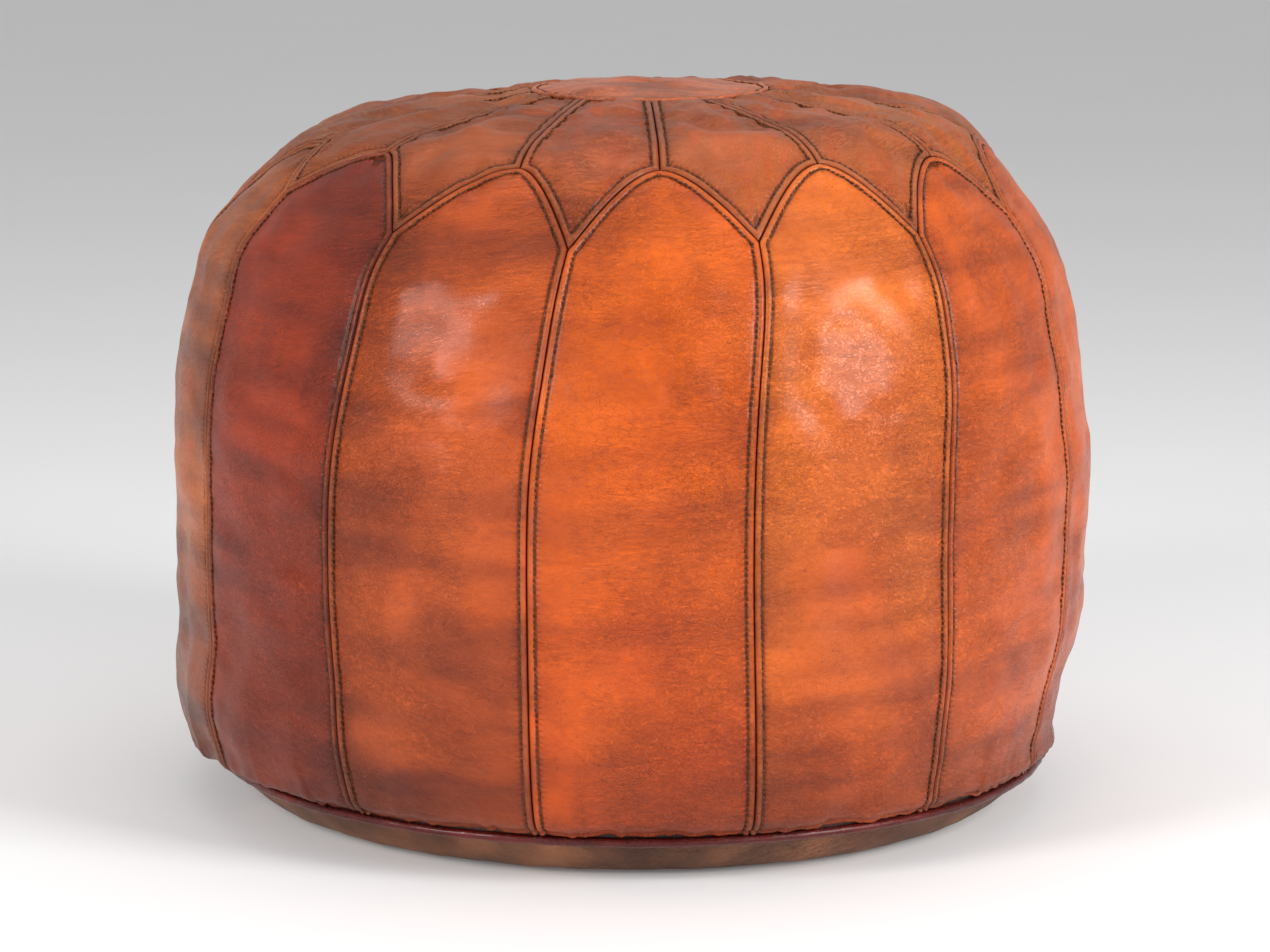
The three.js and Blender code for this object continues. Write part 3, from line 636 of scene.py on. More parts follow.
def centre_piece():
    n, m = 14 * 22, 46
    a = np.arange(n) / (n / N)
    q = np.concatenate([np.linspace(0.006, 0.2, 16), np.linspace(0.2, 1, 30)[1:-1]])
    A, Q = np.meshgrid(a, q)
    # a pull to run the edge straight between its corners is worked out, but it is multiplied by nought and not used
    w = np.abs(((A + 0.5) % 1) - 0.5) * 2
    P, M, lay = S(A, 3 + Q)
    pull = (1 - np.cos(np.pi / N)) * (1 - np.cos(np.pi * w)) * 0
    shape = P.shape[:2]
    edge = Q * CENTRE_R
    g = Waves(61, 0.018, 0.05)
    h = crown(A, 3 + Q) + 0.45 * MM * g(P) * smooth(0.003, 0.015, edge)
    mm = edge / MM
    h = h + MM * (0.9 * np.sin(np.pi * np.clip(mm / 3.4, 0, 1)) ** 0.8 - 0.9 * np.clip(1 - mm / 0.9, 0, 1) ** 1.5
                  - 0.45 * np.exp(-((mm - 3.4) / 0.6) ** 2))
    arc = A / N * 2 * np.pi * CENTRE_R
    h = h + 0.3 * MM * np.exp(-np.clip(edge - 3 * MM, 0, None) / (7 * MM)) * along_noise(62, arc)
    # the medallion is given a lighter tone than the petals, partly as painted sheen from overhead
    tone = srgb(206, 108, 64) * np.exp(0.14 * Waves(63, 0.02, 0.06)(P * np.array([0.5, 2, 1])))[..., None]
    P = P + M * h[..., None]
    verts = P.reshape(-1, 3)
    low = (P[:1] - M[:1] * 1.5 * MM).reshape(-1, 3)
    Pc, Mc, lc = S(0.0, 4.0)
    mid = Pc + Mc * (h[-1].mean())
    verts = np.concatenate([verts, mid[None], low, (mid - [0, 0, 2.6 * MM])[None]])
    rows = len(q)
    idx = np.arange(rows * n).reshape(rows, n)
    nx = np.roll(idx, -1, axis=1)
    faces = np.stack([idx[:-1], nx[:-1], nx[1:], idx[1:]], -1).reshape(-1, 4).tolist()
    c = rows * n
    faces += [[int(idx[-1, i]), int(nx[-1, i]), c] for i in range(n)]
    lo = c + 1 + np.arange(n)
    lx = np.roll(lo, -1)
    faces += [[int(nx[0, i]), int(idx[0, i]), int(lo[i]), int(lx[i])] for i in range(n)]
    faces += [[int(lx[i]), int(lo[i]), c + 1 + n] for i in range(n)]
    o = mesh_object("leather_centre", verts, faces)

    def full(v, c0):
        v = v.reshape(rows * n, -1)
        return np.concatenate([v, [c0], v[:n], [c0]])
    attribute(o, "tone", "FLOAT_COLOR", np.clip(full(np.concatenate([tone, np.ones(shape + (1,))], -1), [0.42, 0.11, 0.04, 1]), 0, 1))
    attribute(o, "seam_d", "FLOAT", full(mm * 4.0 / 3.4, [60.0]))
    attribute(o, "seam_s", "FLOAT", full(arc / PITCH, [0.0]))
    attribute(o, "lay", "FLOAT_VECTOR", full(P * 1.0, list(mid)))
    ch = chain([(np.linspace(0, N, 14 * 20 + 1), np.full(14 * 20 + 1, 3.0))])
    return o, ch


# ------------------------------------------------------------------ thread
def capsule(sides=6):
    """a stitch along X, one long and one thick, fuller in the middle"""
    rings = [(-0.5, 0.0), (-0.44, 0.30), (-0.25, 0.47), (0, 0.5), (0.25, 0.47), (0.44, 0.30), (0.5, 0.0)]
    verts = [(rings[0][0], 0, 0)]
    for x, r in rings[1:-1]:
        for i in range(sides):
            t = 2 * math.pi * i / sides
            verts.append((x, r * math.cos(t), r * math.sin(t)))
    verts.append((rings[-1][0], 0, 0))
    faces = []
    m = len(rings) - 2
    for i in range(sides):
        j = (i + 1) % sides
        faces.append((0, 1 + j, 1 + i))
        for q in range(m - 1):
            faces.append((1 + q * sides + i, 1 + q * sides + j, 1 + (q + 1) * sides + j, 1 + (q + 1) * sides + i))
        faces.append((1 + (m - 1) * sides + i, 1 + (m - 1) * sides + j, 1 + m * sides))
    return np.array(verts), faces


CAP_V, CAP_F = capsule()


def stitch_points(ch, others, mid, row=ROW, closed=False, offset=0.0):
    """points a stitch apart, one row in from a seam line, on the side of mid; none nearer than that to another line"""
    s = np.arange(PITCH * (0.5 + offset), ch["s"][-1], PITCH)
    P = np.stack([np.interp(s, ch["s"], ch["P"][:, i]) for i in range(3)], 1)
    M = np.stack([np.interp(s, ch["s"], ch["M"][:, i]) for i in range(3)], 1)
    M /= np.linalg.norm(M, axis=1)[:, None]
    T = np.stack([np.interp(s + 1e-3, ch["s"], ch["P"][:, i]) - np.interp(s - 1e-3, ch["s"], ch["P"][:, i]) for i in range(3)], 1)
    T /= np.linalg.norm(T, axis=1)[:, None]
    B = np.cross(M, T)
    flip = np.sign(((mid - P) * B).sum(1))
    side = np.where(np.median(flip) >= 0, 1.0, -1.0)
    Q = P + B * side * row
    keep = np.ones(len(s), bool)
    for o in others:
        keep &= to_chain(Q, o)[0] > row - 0.25 * MM
    keep &= to_chain(Q, ch)[0] > row - 0.35 * MM
    return Q, T, M, keep


def thread_piece(name, runs, seed, thick=1.2 * MM, length=2.35 * MM, proud=0.16 * MM):
    """runs: [(points, tangents, normals, keep, tree)], as one mesh of separate stitches"""
    g = np.random.default_rng(seed)
    V, F, at = [], [], []
    count = 0
    for Q, T, M, keep, tree in runs:
        for q, t, m, k in zip(Q, T, M, keep):
            if not k:
                continue
            hit = tree.find_nearest(Vector(q), 0.02)
            if hit[0] is None:
                continue
            loc, nor = np.array(hit[0]), np.array(m)
            t2 = t - nor * (t @ nor)
            t2 /= np.linalg.norm(t2)
            bi = np.cross(nor, t2)
            ang = g.normal(0.20, 0.16)
            t3 = t2 * math.cos(ang) + bi * math.sin(ang)
            tilt = g.normal(0, 0.05)
            t3 = t3 * math.cos(tilt) + nor * math.sin(tilt)
            b3 = np.cross(nor, t3)
            n3 = np.cross(t3, b3)
            L = length * g.uniform(0.82, 1.12)
            W = thick * g.uniform(0.72, 1.22)
            c = loc + nor * proud + bi * g.normal(0, 0.22 * MM)
            vv = c + CAP_V[:, :1] * L * t3 + CAP_V[:, 1:2] * W * b3 + CAP_V[:, 2:3] * W * 0.8 * n3
            base = len(V) * len(CAP_V)
            V.append(vv)
            at.append(np.full(len(CAP_V), g.uniform(0, 1)))
            F.extend([tuple(i + base for i in f) for f in CAP_F])
            count += 1
    o = mesh_object(name, np.concatenate(V), F)
    attribute(o, "each", "FLOAT", np.concatenate(at))
    return o, count


def tree_of(o):
    me = o.data
    return BVHTree.FromPolygons([v.co for v in me.vertices], [p.vertices for p in me.polygons])


# ------------------------------------------------------------------ materials
def material(name):
    m = bpy.data.materials.new(name)
    m.use_nodes = True
    nt = m.node_tree
    nt.nodes.clear()
    out = nt.nodes.new("ShaderNodeOutputMaterial")
    bsdf = nt.nodes.new("ShaderNodeBsdfPrincipled")
    nt.links.new(bsdf.outputs[0], out.inputs[0])
    return m, nt, bsdf


class Net:
    """short names for shader nodes"""

    def __init__(self, nt):
        self.nt = nt

    def node(self, kind, **props):
        n = self.nt.nodes.new(kind)
        for k, v in props.items():
            setattr(n, k, v)
        return n

    def put(self, socket, value):
        if isinstance(value, bpy.types.NodeSocket):
            self.nt.links.new(value, socket)
        elif value is not None:
            socket.default_value = value

    def attr(self, name, out="Fac"):
        n = self.node("ShaderNodeAttribute", attribute_type="GEOMETRY", attribute_name=name)
        return n.outputs[out]

    def math(self, op, a, b=None, c=None, clamp=False):
        n = self.node("ShaderNodeMath", operation=op, use_clamp=clamp)
        self.put(n.inputs[0], a)
        if b is not None:
            self.put(n.inputs[1], b)
        if c is not None:
            self.put(n.inputs[2], c)
        return n.outputs[0]

    def scale(self, vec, xyz):
        n = self.node("ShaderNodeMapping", vector_type="POINT")
        self.put(n.inputs["Vector"], vec)
        n.inputs["Scale"].default_value = xyz
        return n.outputs[0]

    def noise(self, vec, scale, detail=3, rough=0.55, distort=0.0, out="Fac"):
        n = self.node("ShaderNodeTexNoise")
        self.put(n.inputs["Vector"], vec)
        n.inputs["Scale"].default_value = scale
        n.inputs["Detail"].default_value = detail
        n.inputs["Roughness"].default_value = rough
        n.inputs["Distortion"].default_value = distort
        return n.outputs[out]

    def node_warp(self, vec, scale, amount):
        """the same coordinates, pushed about by a noise"""
        w = self.node("ShaderNodeTexNoise")
        self.put(w.inputs["Vector"], vec)
        w.inputs["Scale"].default_value = scale
        off = self.node("ShaderNodeVectorMath", operation="MULTIPLY_ADD")
        self.put(off.inputs[0], w.outputs["Color"])
        off.inputs[1].default_value = (amount, amount, amount)
        self.put(off.inputs[2], vec)
        return off.outputs[0]

    def voronoi(self, vec, scale, feature="F1", rand=1.0):
        n = self.node("ShaderNodeTexVoronoi", feature=feature)
        self.put(n.inputs["Vector"], vec)
        n.inputs["Scale"].default_value = scale
        n.inputs["Randomness"].default_value = rand
        return n.outputs["Distance"]

    def ramp(self, fac, lo, hi, a=0.0, b=1.0, smooth_=True):
        n = self.node("ShaderNodeMapRange", interpolation_type="SMOOTHSTEP" if smooth_ else "LINEAR")
        self.put(n.inputs["Value"], fac)
        n.inputs["From Min"].default_value = lo
        n.inputs["From Max"].default_value = hi
        n.inputs["To Min"].default_value = a
        n.inputs["To Max"].default_value = b
        return n.outputs["Result"]

    def mix(self, fac, a, b, kind="MIX"):
        n = self.node("ShaderNodeMix", data_type="RGBA", blend_type=kind)
        self.put(n.inputs["Factor"], fac)
        self.put(n.inputs[6], a)
        self.put(n.inputs[7], b)
        return n.outputs[2]

    def bump(self, height, strength, distance, normal=None):
        n = self.node("ShaderNodeBump")
        n.inputs["Strength"].default_value = strength
        n.inputs["Distance"].default_value = distance
        self.put(n.inputs["Height"], height)
        if normal is not None:
            self.put(n.inputs["Normal"], normal)
        return n.outputs[0]


def rubbed_and_highlit(n, tone):
    """the dye worn thin by rubbing; on the seam ridges it also stands as a painted highlight"""
    return n.mix(0.45, n.mix(1.0, tone, (1.12, 1.14, 1.1, 1), "MULTIPLY"), (0.46, 0.17, 0.065, 1))


def leather(name, rough=0.34, coat=0.22, stitched=True, dull=0.0, seed=0.0, folds=1.0):
    m, nt, bsdf = material(name)
    n = Net(nt)
    obj = n.node("ShaderNodeTexCoord").outputs["Object"]
    lay = n.attr("lay", "Vector")
    tone = n.attr("tone", "Color")
    d = n.attr("seam_d")
    s = n.attr("seam_s")
    # colour: clouds, horizontal smudges from the burnishing cloth, fine mottling, dark specks
    cloud = n.noise(obj, 11.0, 4, 0.6, 0.4)
    smear = n.noise(n.scale(lay, (9.0, 46.0, 1.0)), 1.0, 5, 0.62, 0.6)
    fine = n.noise(n.scale(lay, (230, 420, 1.0)), 1.0, 5, 0.75, 0.4)
    mott = n.noise(n.scale(lay, (70, 130, 1.0)), 1.0, 4, 0.7, 0.8)
    speck = n.ramp(n.noise(obj, 240.0, 3, 0.7), 0.64, 0.74)
    dark = n.mix(1.0, tone, (0.50, 0.34, 0.25, 1), "MULTIPLY")
    light = n.mix(1.0, tone, (1.26, 1.30, 1.2, 1), "MULTIPLY")
    c = n.mix(n.ramp(cloud, 0.38, 0.68, 0.0, 0.5), tone, dark)
    c = n.mix(n.ramp(smear, 0.52, 0.76, 0.0, 0.6), c, dark)
    c = n.mix(n.ramp(smear, 0.42, 0.22, 0.0, 0.4), c, light)
    c = n.mix(n.ramp(mott, 0.5, 0.72, 0.0, 0.26), c, dark)
    c = n.mix(n.ramp(mott, 0.48, 0.3, 0.0, 0.25), c, light)
    c = n.mix(n.ramp(fine, 0.46, 0.68, 0.0, 0.3), c, dark)
    c = n.mix(n.ramp(fine, 0.46, 0.28, 0.0, 0.28), c, light)
    # hairline cracks in the finish, closer together where the hide was stretched
    web = n.voronoi(n.scale(n.node_warp(lay, 90.0, 0.004), (150, 260, 1.0)), 1.0, "DISTANCE_TO_EDGE")
    crackle = n.math("MULTIPLY", n.ramp(web, 0.07, 0.0), n.ramp(n.noise(obj, 15.0, 3, 0.6), 0.45, 0.62, 0.08, 0.42))
    c = n.mix(crackle, c, dark)
    c = n.mix(n.math("MULTIPLY", speck, 0.35), c, (0.06, 0.012, 0.004, 1))
    if stitched:
        # the join is painted dark as shade in its groove; the folded ridges are painted lighter, partly as wear and
        # partly as a painted highlight
        join = n.ramp(d, 0.62, 0.22)
        c = n.mix(n.math("MULTIPLY", join, 0.88), c, (0.085, 0.014, 0.006, 1))
        ridge = n.math("MULTIPLY", n.ramp(d, 0.8, 1.7), n.ramp(d, 3.7, 3.0))
        # painted highlight, partly real wear: the folded ridges are lightened
        c = n.mix(n.math("MULTIPLY", ridge, n.ramp(mott, 0.35, 0.6, 0.1, 0.5)), c, rubbed_and_highlit(n, tone))
        c = n.mix(n.math("MULTIPLY", ridge, n.ramp(fine, 0.5, 0.68, 0.0, 0.5)), c, dark)
        # painted shade: a dark band along the furrow of the stitch row
        furrow_shade = n.math("MULTIPLY", n.ramp(d, 3.1, 3.9), n.ramp(d, 5.6, 4.3))
        c = n.mix(n.math("MULTIPLY", furrow_shade, n.ramp(mott, 0.35, 0.6, 0.35, 0.85)), c, (0.10, 0.022, 0.006, 1))
        # short dark ticks across the row, painted shade in the dents where the thread draws the leather in
        tick = n.math("SINE", n.math("ADD", n.math("MULTIPLY", s, 2 * math.pi), n.math("MULTIPLY", mott, 5.0)))
        reach = n.math("MULTIPLY", n.ramp(d, 3.8, 4.6), n.ramp(d, 9.0, 4.8))
        c = n.mix(n.math("MULTIPLY", n.math("MULTIPLY", n.ramp(tick, 0.55, 0.95), reach), n.ramp(cloud, 0.35, 0.6, 0.15, 0.6)), c, dark)
    nt.links.new(c, bsdf.inputs["Base Color"])
    # roughness: glossy where rubbed, duller in the smears and the grain
    r = n.math("ADD", n.ramp(cloud, 0.3, 0.75, rough - 0.03, rough + 0.05), n.ramp(fine, 0.3, 0.7, -0.03, 0.04))
    r = n.math("ADD", r, n.ramp(smear, 0.5, 0.8, 0.0, 0.05))
    nt.links.new(n.math("ADD", r, dull, clamp=True), bsdf.inputs["Roughness"])
    bsdf.inputs["Specular IOR Level"].default_value = 0.27
    bsdf.inputs["Coat Weight"].default_value = coat
    bsdf.inputs["Coat Roughness"].default_value = 0.26
    # relief: pebbled grain, crossed hairline creases, wrinkles round the pouf
    cell = n.voronoi(n.scale(obj, (1, 1, 1)), 620.0, "DISTANCE_TO_EDGE")
    grain = n.ramp(cell, 0.0, 0.16, 0.0, 1.0)
    vary = n.ramp(n.noise(obj, 16.0, 3, 0.6), 0.4, 0.68, 0.15, 1.0)
    b1 = n.bump(n.math("MULTIPLY", grain, vary), 0.8, 0.0003)
    crease = n.noise(n.scale(lay, (75, 330, 1.0)), 1.0, 4, 0.6, 1.6)
    fold = n.ramp(n.math("ABSOLUTE", n.math("SUBTRACT", crease, 0.5)), 0.0, 0.07, 0.0, 1.0)
    where = n.ramp(n.noise(obj, 13.0, 2, 0.5), 0.47, 0.60, 0.0, 1.0)
    b2 = n.bump(n.math("MULTIPLY", n.math("SUBTRACT", fold, 1.0), where), 0.6 * folds, 0.0005, b1)
    net = n.noise(n.scale(lay, (250, 310, 1.0)), 1.0, 3, 0.6, 2.2)
    net = n.ramp(n.math("ABSOLUTE", n.math("SUBTRACT", net, 0.5)), 0.0, 0.09, 0.0, 1.0)
    patch = n.ramp(n.noise(obj, 10.0, 3, 0.6, 0.5), 0.42, 0.58, 0.15, 1.0)
    b2 = n.bump(n.math("MULTIPLY", net, patch), 0.85, 0.0004, b2)
    soft = n.noise(obj, 75.0, 3, 0.5, 0.3)
    b3 = n.bump(soft, 0.3, 0.0010, b2)
    last = b3
    if stitched:
        # each stitch draws the leather in: a dent at its ends and a fine pucker across the row
        ph = n.math("SINE", n.math("MULTIPLY", s, 2 * math.pi))
        band = n.math("MULTIPLY", n.ramp(d, 2.4, 3.9), n.ramp(d, 8.5, 4.6))
        pk = n.math("MULTIPLY", ph, band)
        last = n.bump(pk, 0.7, 0.00040, b3)
    nt.links.new(last, bsdf.inputs["Normal"])
    return m


def thread_material():
    m, nt, bsdf = material("waxed_thread")
    n = Net(nt)
    obj = n.node("ShaderNodeTexCoord").outputs["Object"]
    each = n.attr("each")
    c = n.mix(each, (0.045, 0.012, 0.003, 1), (0.12, 0.038, 0.011, 1))
    fib = n.noise(obj, 2600.0, 3, 0.6, 0.5)
    c = n.mix(n.ramp(fib, 0.4, 0.75, 0.0, 0.6), c, (0.16, 0.06, 0.025, 1))
    nt.links.new(c, bsdf.inputs["Base Color"])
    nt.links.new(n.ramp(fib, 0.3, 0.7, 0.6, 0.85), bsdf.inputs["Roughness"])
    bsdf.inputs["Specular IOR Level"].default_value = 0.2
    nt.links.new(n.bump(fib, 0.5, 0.0002), bsdf.inputs["Normal"])
    return m


def give(o, mat, slot, *nodes, body="cover"):
    o.data.materials.clear()
    o.data.materials.append(mat)
    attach(o, body)
    if nodes:
        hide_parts(*nodes)
    return o


SIDE_MAT = leather("burnished_goat_leather_side", 0.33, 0.2)
TOP_MAT = leather("burnished_goat_leather_top", 0.31, 0.2, folds=1.3)
THREAD_MAT = thread_material()

# ------------------------------------------------------------------ build the cover
total_stitches = 0
for k in range(N):
    o, lines = side_panel(k)
    give(o, SIDE_MAT, "side_leather", f"side_panel_{k + 1:02d}")
    tree = tree_of(o)
    mid = S(k + 0.5, 0.8)[0]
    runs = []
    for ch, other in ((lines[0], lines[1]), (lines[1], lines[0])):
        runs.append((*stitch_points(ch, [other], mid), tree))
    t, c = thread_piece(f"thread_side_{k + 1:02d}", runs, 2000 + k)
    total_stitches += c
    give(t, THREAD_MAT, "seam_thread")

    o, lines = petal(k)
    give(o, TOP_MAT, "top_leather", f"top_petal_{k + 1:02d}")
    tree = tree_of(o)
    mid = S(float(k), 2.1)[0]
    runs = []
    for ch, other in ((lines[0], lines[1]), (lines[1], lines[0])):
        runs.append((*stitch_points(ch, [other], mid), tree))
    t, c = thread_piece(f"thread_petal_{k + 1:02d}", runs, 2100 + k)
    total_stitches += c
    give(t, THREAD_MAT, "seam_thread")

o, ch = centre_piece()
give(o, TOP_MAT, "top_leather", "centre_medallion")
t, c = thread_piece("thread_centre", [(*stitch_points(ch, [], S(0.0, 4.0)[0], 3.4 * MM), tree_of(o))], 2200)
total_stitches += c
give(t, THREAD_MAT, "seam_thread")
print("stitches:", total_stitches)




# ------------------------------------------------------------------ welt, base, zip
def grid_normals(P):
    du = np.gradient(P, axis=1)
    dv = np.gradient(P, axis=0)
    n = np.cross(du, dv)
    return n / np.maximum(np.linalg.norm(n, axis=-1), 1e-12)[..., None]


def dyed(shape, colour, seed, P, amount=0.12):
    t = srgb(*colour) * np.exp(amount * Waves(seed, 0.015, 0.07)(P))[..., None]
    return np.concatenate([np.clip(t, 0, 1), np.ones(shape + (1,))], -1)


def welt():
    n, m = 900, 14
    t = np.linspace(0, 2 * np.pi, n, endpoint=False)
    v = np.linspace(0, 2 * np.pi, m, endpoint=False)
    T, V = np.meshgrid(t, v, indexing="ij")
    g = np.random.default_rng(31)
    wob = sum(w * np.sin(q * t + g.uniform(0, 6.28)) for q, w in ((3, 0.25), (5, 0.2), (14, 0.25), (23, 0.15), (41, 0.12)))
    thick = WELT_T * (1 + 0.05 * sum(np.sin(q * t + g.uniform(0, 6.28)) for q in (37, 61, 97)) / 1.5)
    arc = T * WELT_R
    rr = thick[:, None] * (1 + 0.025 * np.sin(2 * np.pi * arc / 0.0041 + 2 * np.sin(V) + 3 * np.sin(arc / 0.03)))
    rad_ = WELT_R + 0.3 * MM * np.sin(7 * t + 1)[:, None] + rr * np.cos(V)
    z = WELT_Z + 0.35 * MM * wob[:, None] + rr * np.sin(V)
    P = np.stack([rad_ * np.sin(T), -rad_ * np.cos(T), z], -1)
    P = settle(P)
    # the flange that is sewn into the seam stands up behind the cord
    ring_r = [WELT_R - 0.6 * MM, WELT_R - 1.4 * MM, WELT_R - 2.6 * MM, WELT_R - 2.2 * MM]
    ring_z = [WELT_Z + 0.4 * MM, WELT_Z + 8.5 * MM, WELT_Z + 8.5 * MM, WELT_Z - 0.6 * MM]
    Q = np.stack([np.stack([q * np.sin(t), -q * np.cos(t), np.full(n, h)], -1) for q, h in zip(ring_r, ring_z)], 1)
    Q = settle(Q)
    idx = np.arange(n * m).reshape(n, m)
    a, b = np.roll(idx, -1, 0), np.roll(idx, -1, 1)
    c = np.roll(a, -1, 1)
    fl = n * m + np.arange(n * 4).reshape(n, 4)
    fa, fb = np.roll(fl, -1, 0), np.roll(fl, -1, 1)
    fc = np.roll(fa, -1, 1)
    faces = np.stack([idx, a, c, b], -1).reshape(-1, 4).tolist() + np.stack([fl, fa, fc, fb], -1).reshape(-1, 4).tolist()
    o = mesh_object("welt_piping", np.concatenate([P.reshape(-1, 3), Q.reshape(-1, 3)]), faces)
    cord = dyed((n, m), (104, 20, 12), 33, P).reshape(-1, 4)
    # the flange is coloured darker than the cord, as painted shade in the gap above the cord
    attribute(o, "tone", "FLOAT_COLOR", np.concatenate([cord, np.tile([0.06, 0.012, 0.006, 1.0], (4 * n, 1))]))
    attribute(o, "seam_d", "FLOAT", np.full(n * (m + 4), 60.0))
    attribute(o, "seam_s", "FLOAT", np.zeros(n * (m + 4)))
    attribute(o, "lay", "FLOAT_VECTOR", np.concatenate([np.stack([arc, V * WELT_T, 0 * V], -1).reshape(-1, 3), Q.reshape(-1, 3)]))
    return o


BASE_Z = spline(np.array([0.0, 0.70, 0.765, 0.806, 0.845, 0.885, 0.90]) * R,
                np.array([0.0, 0.0, 0.0006, 0.0125, 0.0400, 0.0800, 0.0945]) * R)
POCKET = (172.6 * MM, 13.6 * MM)


def pocket_line(phi, off):
    """the zip pocket's outline, off outside it, met by a fan of lines from the rim"""
    hx, hy = POCKET[0] + off, POCKET[1] + off
    f0 = math.radians(13)
    x = np.where(phi < f0, hx, np.where(phi > math.pi - f0, -hx, hx * np.cos(phi) / math.cos(f0)))
    y = np.where(phi < f0, hy * phi / f0, np.where(phi > math.pi - f0, hy * (math.pi - phi) / f0, hy))
    x = np.clip(x, -hx, hx)
    return x, y


def base_half(side):
    f0 = math.radians(13)
    phi = np.concatenate([np.linspace(0, f0, 15)[:-1], np.linspace(f0, math.pi - f0, 230), np.linspace(math.pi - f0, math.pi, 15)[1:]])
    # sections of the walk from the welt down, across the flat, into the pocket and along its ledge
    t = np.concatenate([np.linspace(0, 0.22, 22)[:-1], np.linspace(0.22, 0.9, 40)[:-1], np.linspace(0.9, 1, 14)])
    T, F = np.meshgrid(t, phi, indexing="ij")
    rim = 0.8905 * R
    ox, oy = pocket_line(F, 2.2 * MM)
    rx, ry = rim * np.cos(F), rim * np.sin(F)
    X, Y = rx * (1 - T) + ox * T, ry * (1 - T) + oy * T
    rr = np.hypot(X, Y)
    Z = BASE_Z(rr)
    g = np.random.default_rng(41 if side > 0 else 42)
    ang = F + (0 if side > 0 else math.pi)
    gather = sum(w * np.sin(q * ang + g.uniform(0, 6.28)) for q, w in ((9, 0.5), (17, 0.7), (29, 0.6), (47, 0.45), (71, 0.35)))
    hang = smooth(0.72 * R, 0.80 * R, rr) * smooth(0.888 * R, 0.86 * R, rr)
    P = np.stack([X, Y, Z], -1)
    bumps = Waves(43, 0.03, 0.08)(P)
    Zw = 0.22 * MM * gather * hang + 0.16 * MM * np.clip(bumps, 0, None) * smooth(0.0, 0.01, np.abs(rr - 0.5 * R) + 0.01) * (T < 0.97)
    Z = Z + Zw * (rr > 0.2 * R) * smooth(2 * MM, 12 * MM, T * 0 + np.minimum(np.hypot(X - ox, Y - oy), 0.02))
    P = np.stack([X, Y, np.maximum(Z, 0.0)], -1)
    prof = [(1.2, 0.25), (0.6, 0.6), (0.15, 1.3), (0, 2.2), (0, 3.6), (0, 5.0), (-0.15, 6.1), (-0.6, 6.9),
            (-1.3, 7.4), (-2.2, 7.55), (-3.6, 7.6), (-4.7, 7.62), (-5.8, 7.6), (-6.3, 7.68), (-6.6, 8.0), (-6.65, 8.6)]
    rows = []
    for off, z in prof:
        x, y = pocket_line(phi, off * MM)
        rows.append(np.stack([x, y, np.full_like(x, z * MM)], -1))
    P = np.concatenate([P, np.array(rows)])
    P = settle(P)
    # seam inset at the join of the two halves
    P[:, 0, 1] += 0.2 * MM
    P[:, -1, 1] += 0.2 * MM
    if side < 0:
        P[..., 1] *= -1
        P = P[:, ::-1]
    P = P[:, ::-1]
    M = grid_normals(P)
    if M[30, 60, 2] > 0:
        P = P[:, ::-1]
        M = grid_normals(P)
    shape = P.shape[:2]
    # the join beyond the pocket
    outside = np.abs(P[..., 0]) > POCKET[0] + 1 * MM
    d = np.where(outside, np.abs(P[..., 1]), 0.06)
    # the turned and stitched edge of the pocket
    px, py = np.abs(P[..., 0]) - POCKET[0], np.abs(P[..., 1]) - POCKET[1]
    dp = np.where((px > 0) & (py > 0), np.hypot(px, py), np.maximum(px, py))
    P = P + M * (np.where(P[..., 2] < 0.001, -0.45 * MM * np.exp(-((dp / MM - 5.2) / 0.7) ** 2), 0)
                 + np.where(outside, np.minimum(0, seam_relief(d) * 0.7), 0))[..., None]
    P[..., 2] = np.maximum(P[..., 2], 0.0)
    row = np.abs(dp / MM - 5.2) + 4.05
    sd = np.where(P[..., 2] < 0.0012, np.where(dp > 0, row, 60), 60)
    sd = np.minimum(sd, np.where(outside, d / MM, 60))
    col = dyed(shape, (122, 76, 48), 45, P, 0.22)
    dark = np.exp(-np.clip(P[..., 2] - 0.0, 0, None) / 0.004)[..., None]
    worn = smooth(0.80 * R, 0.70 * R, np.hypot(P[..., 0], P[..., 1]))[..., None]
    col[..., :3] = col[..., :3] * (1 - 0.28 * worn * dark) + srgb(84, 56, 36) * 0.28 * worn * dark
    o = shell_object("base_leather_back" if side > 0 else "base_leather_front", P, M, 1.4 * MM, {
        "tone": ("FLOAT_COLOR", col), "seam_d": ("FLOAT", sd),
        "seam_s": ("FLOAT", P[..., 0] / PITCH), "lay": ("FLOAT_VECTOR", P * np.array([1, 1, 0]))}, every=(4, 5))
    return o


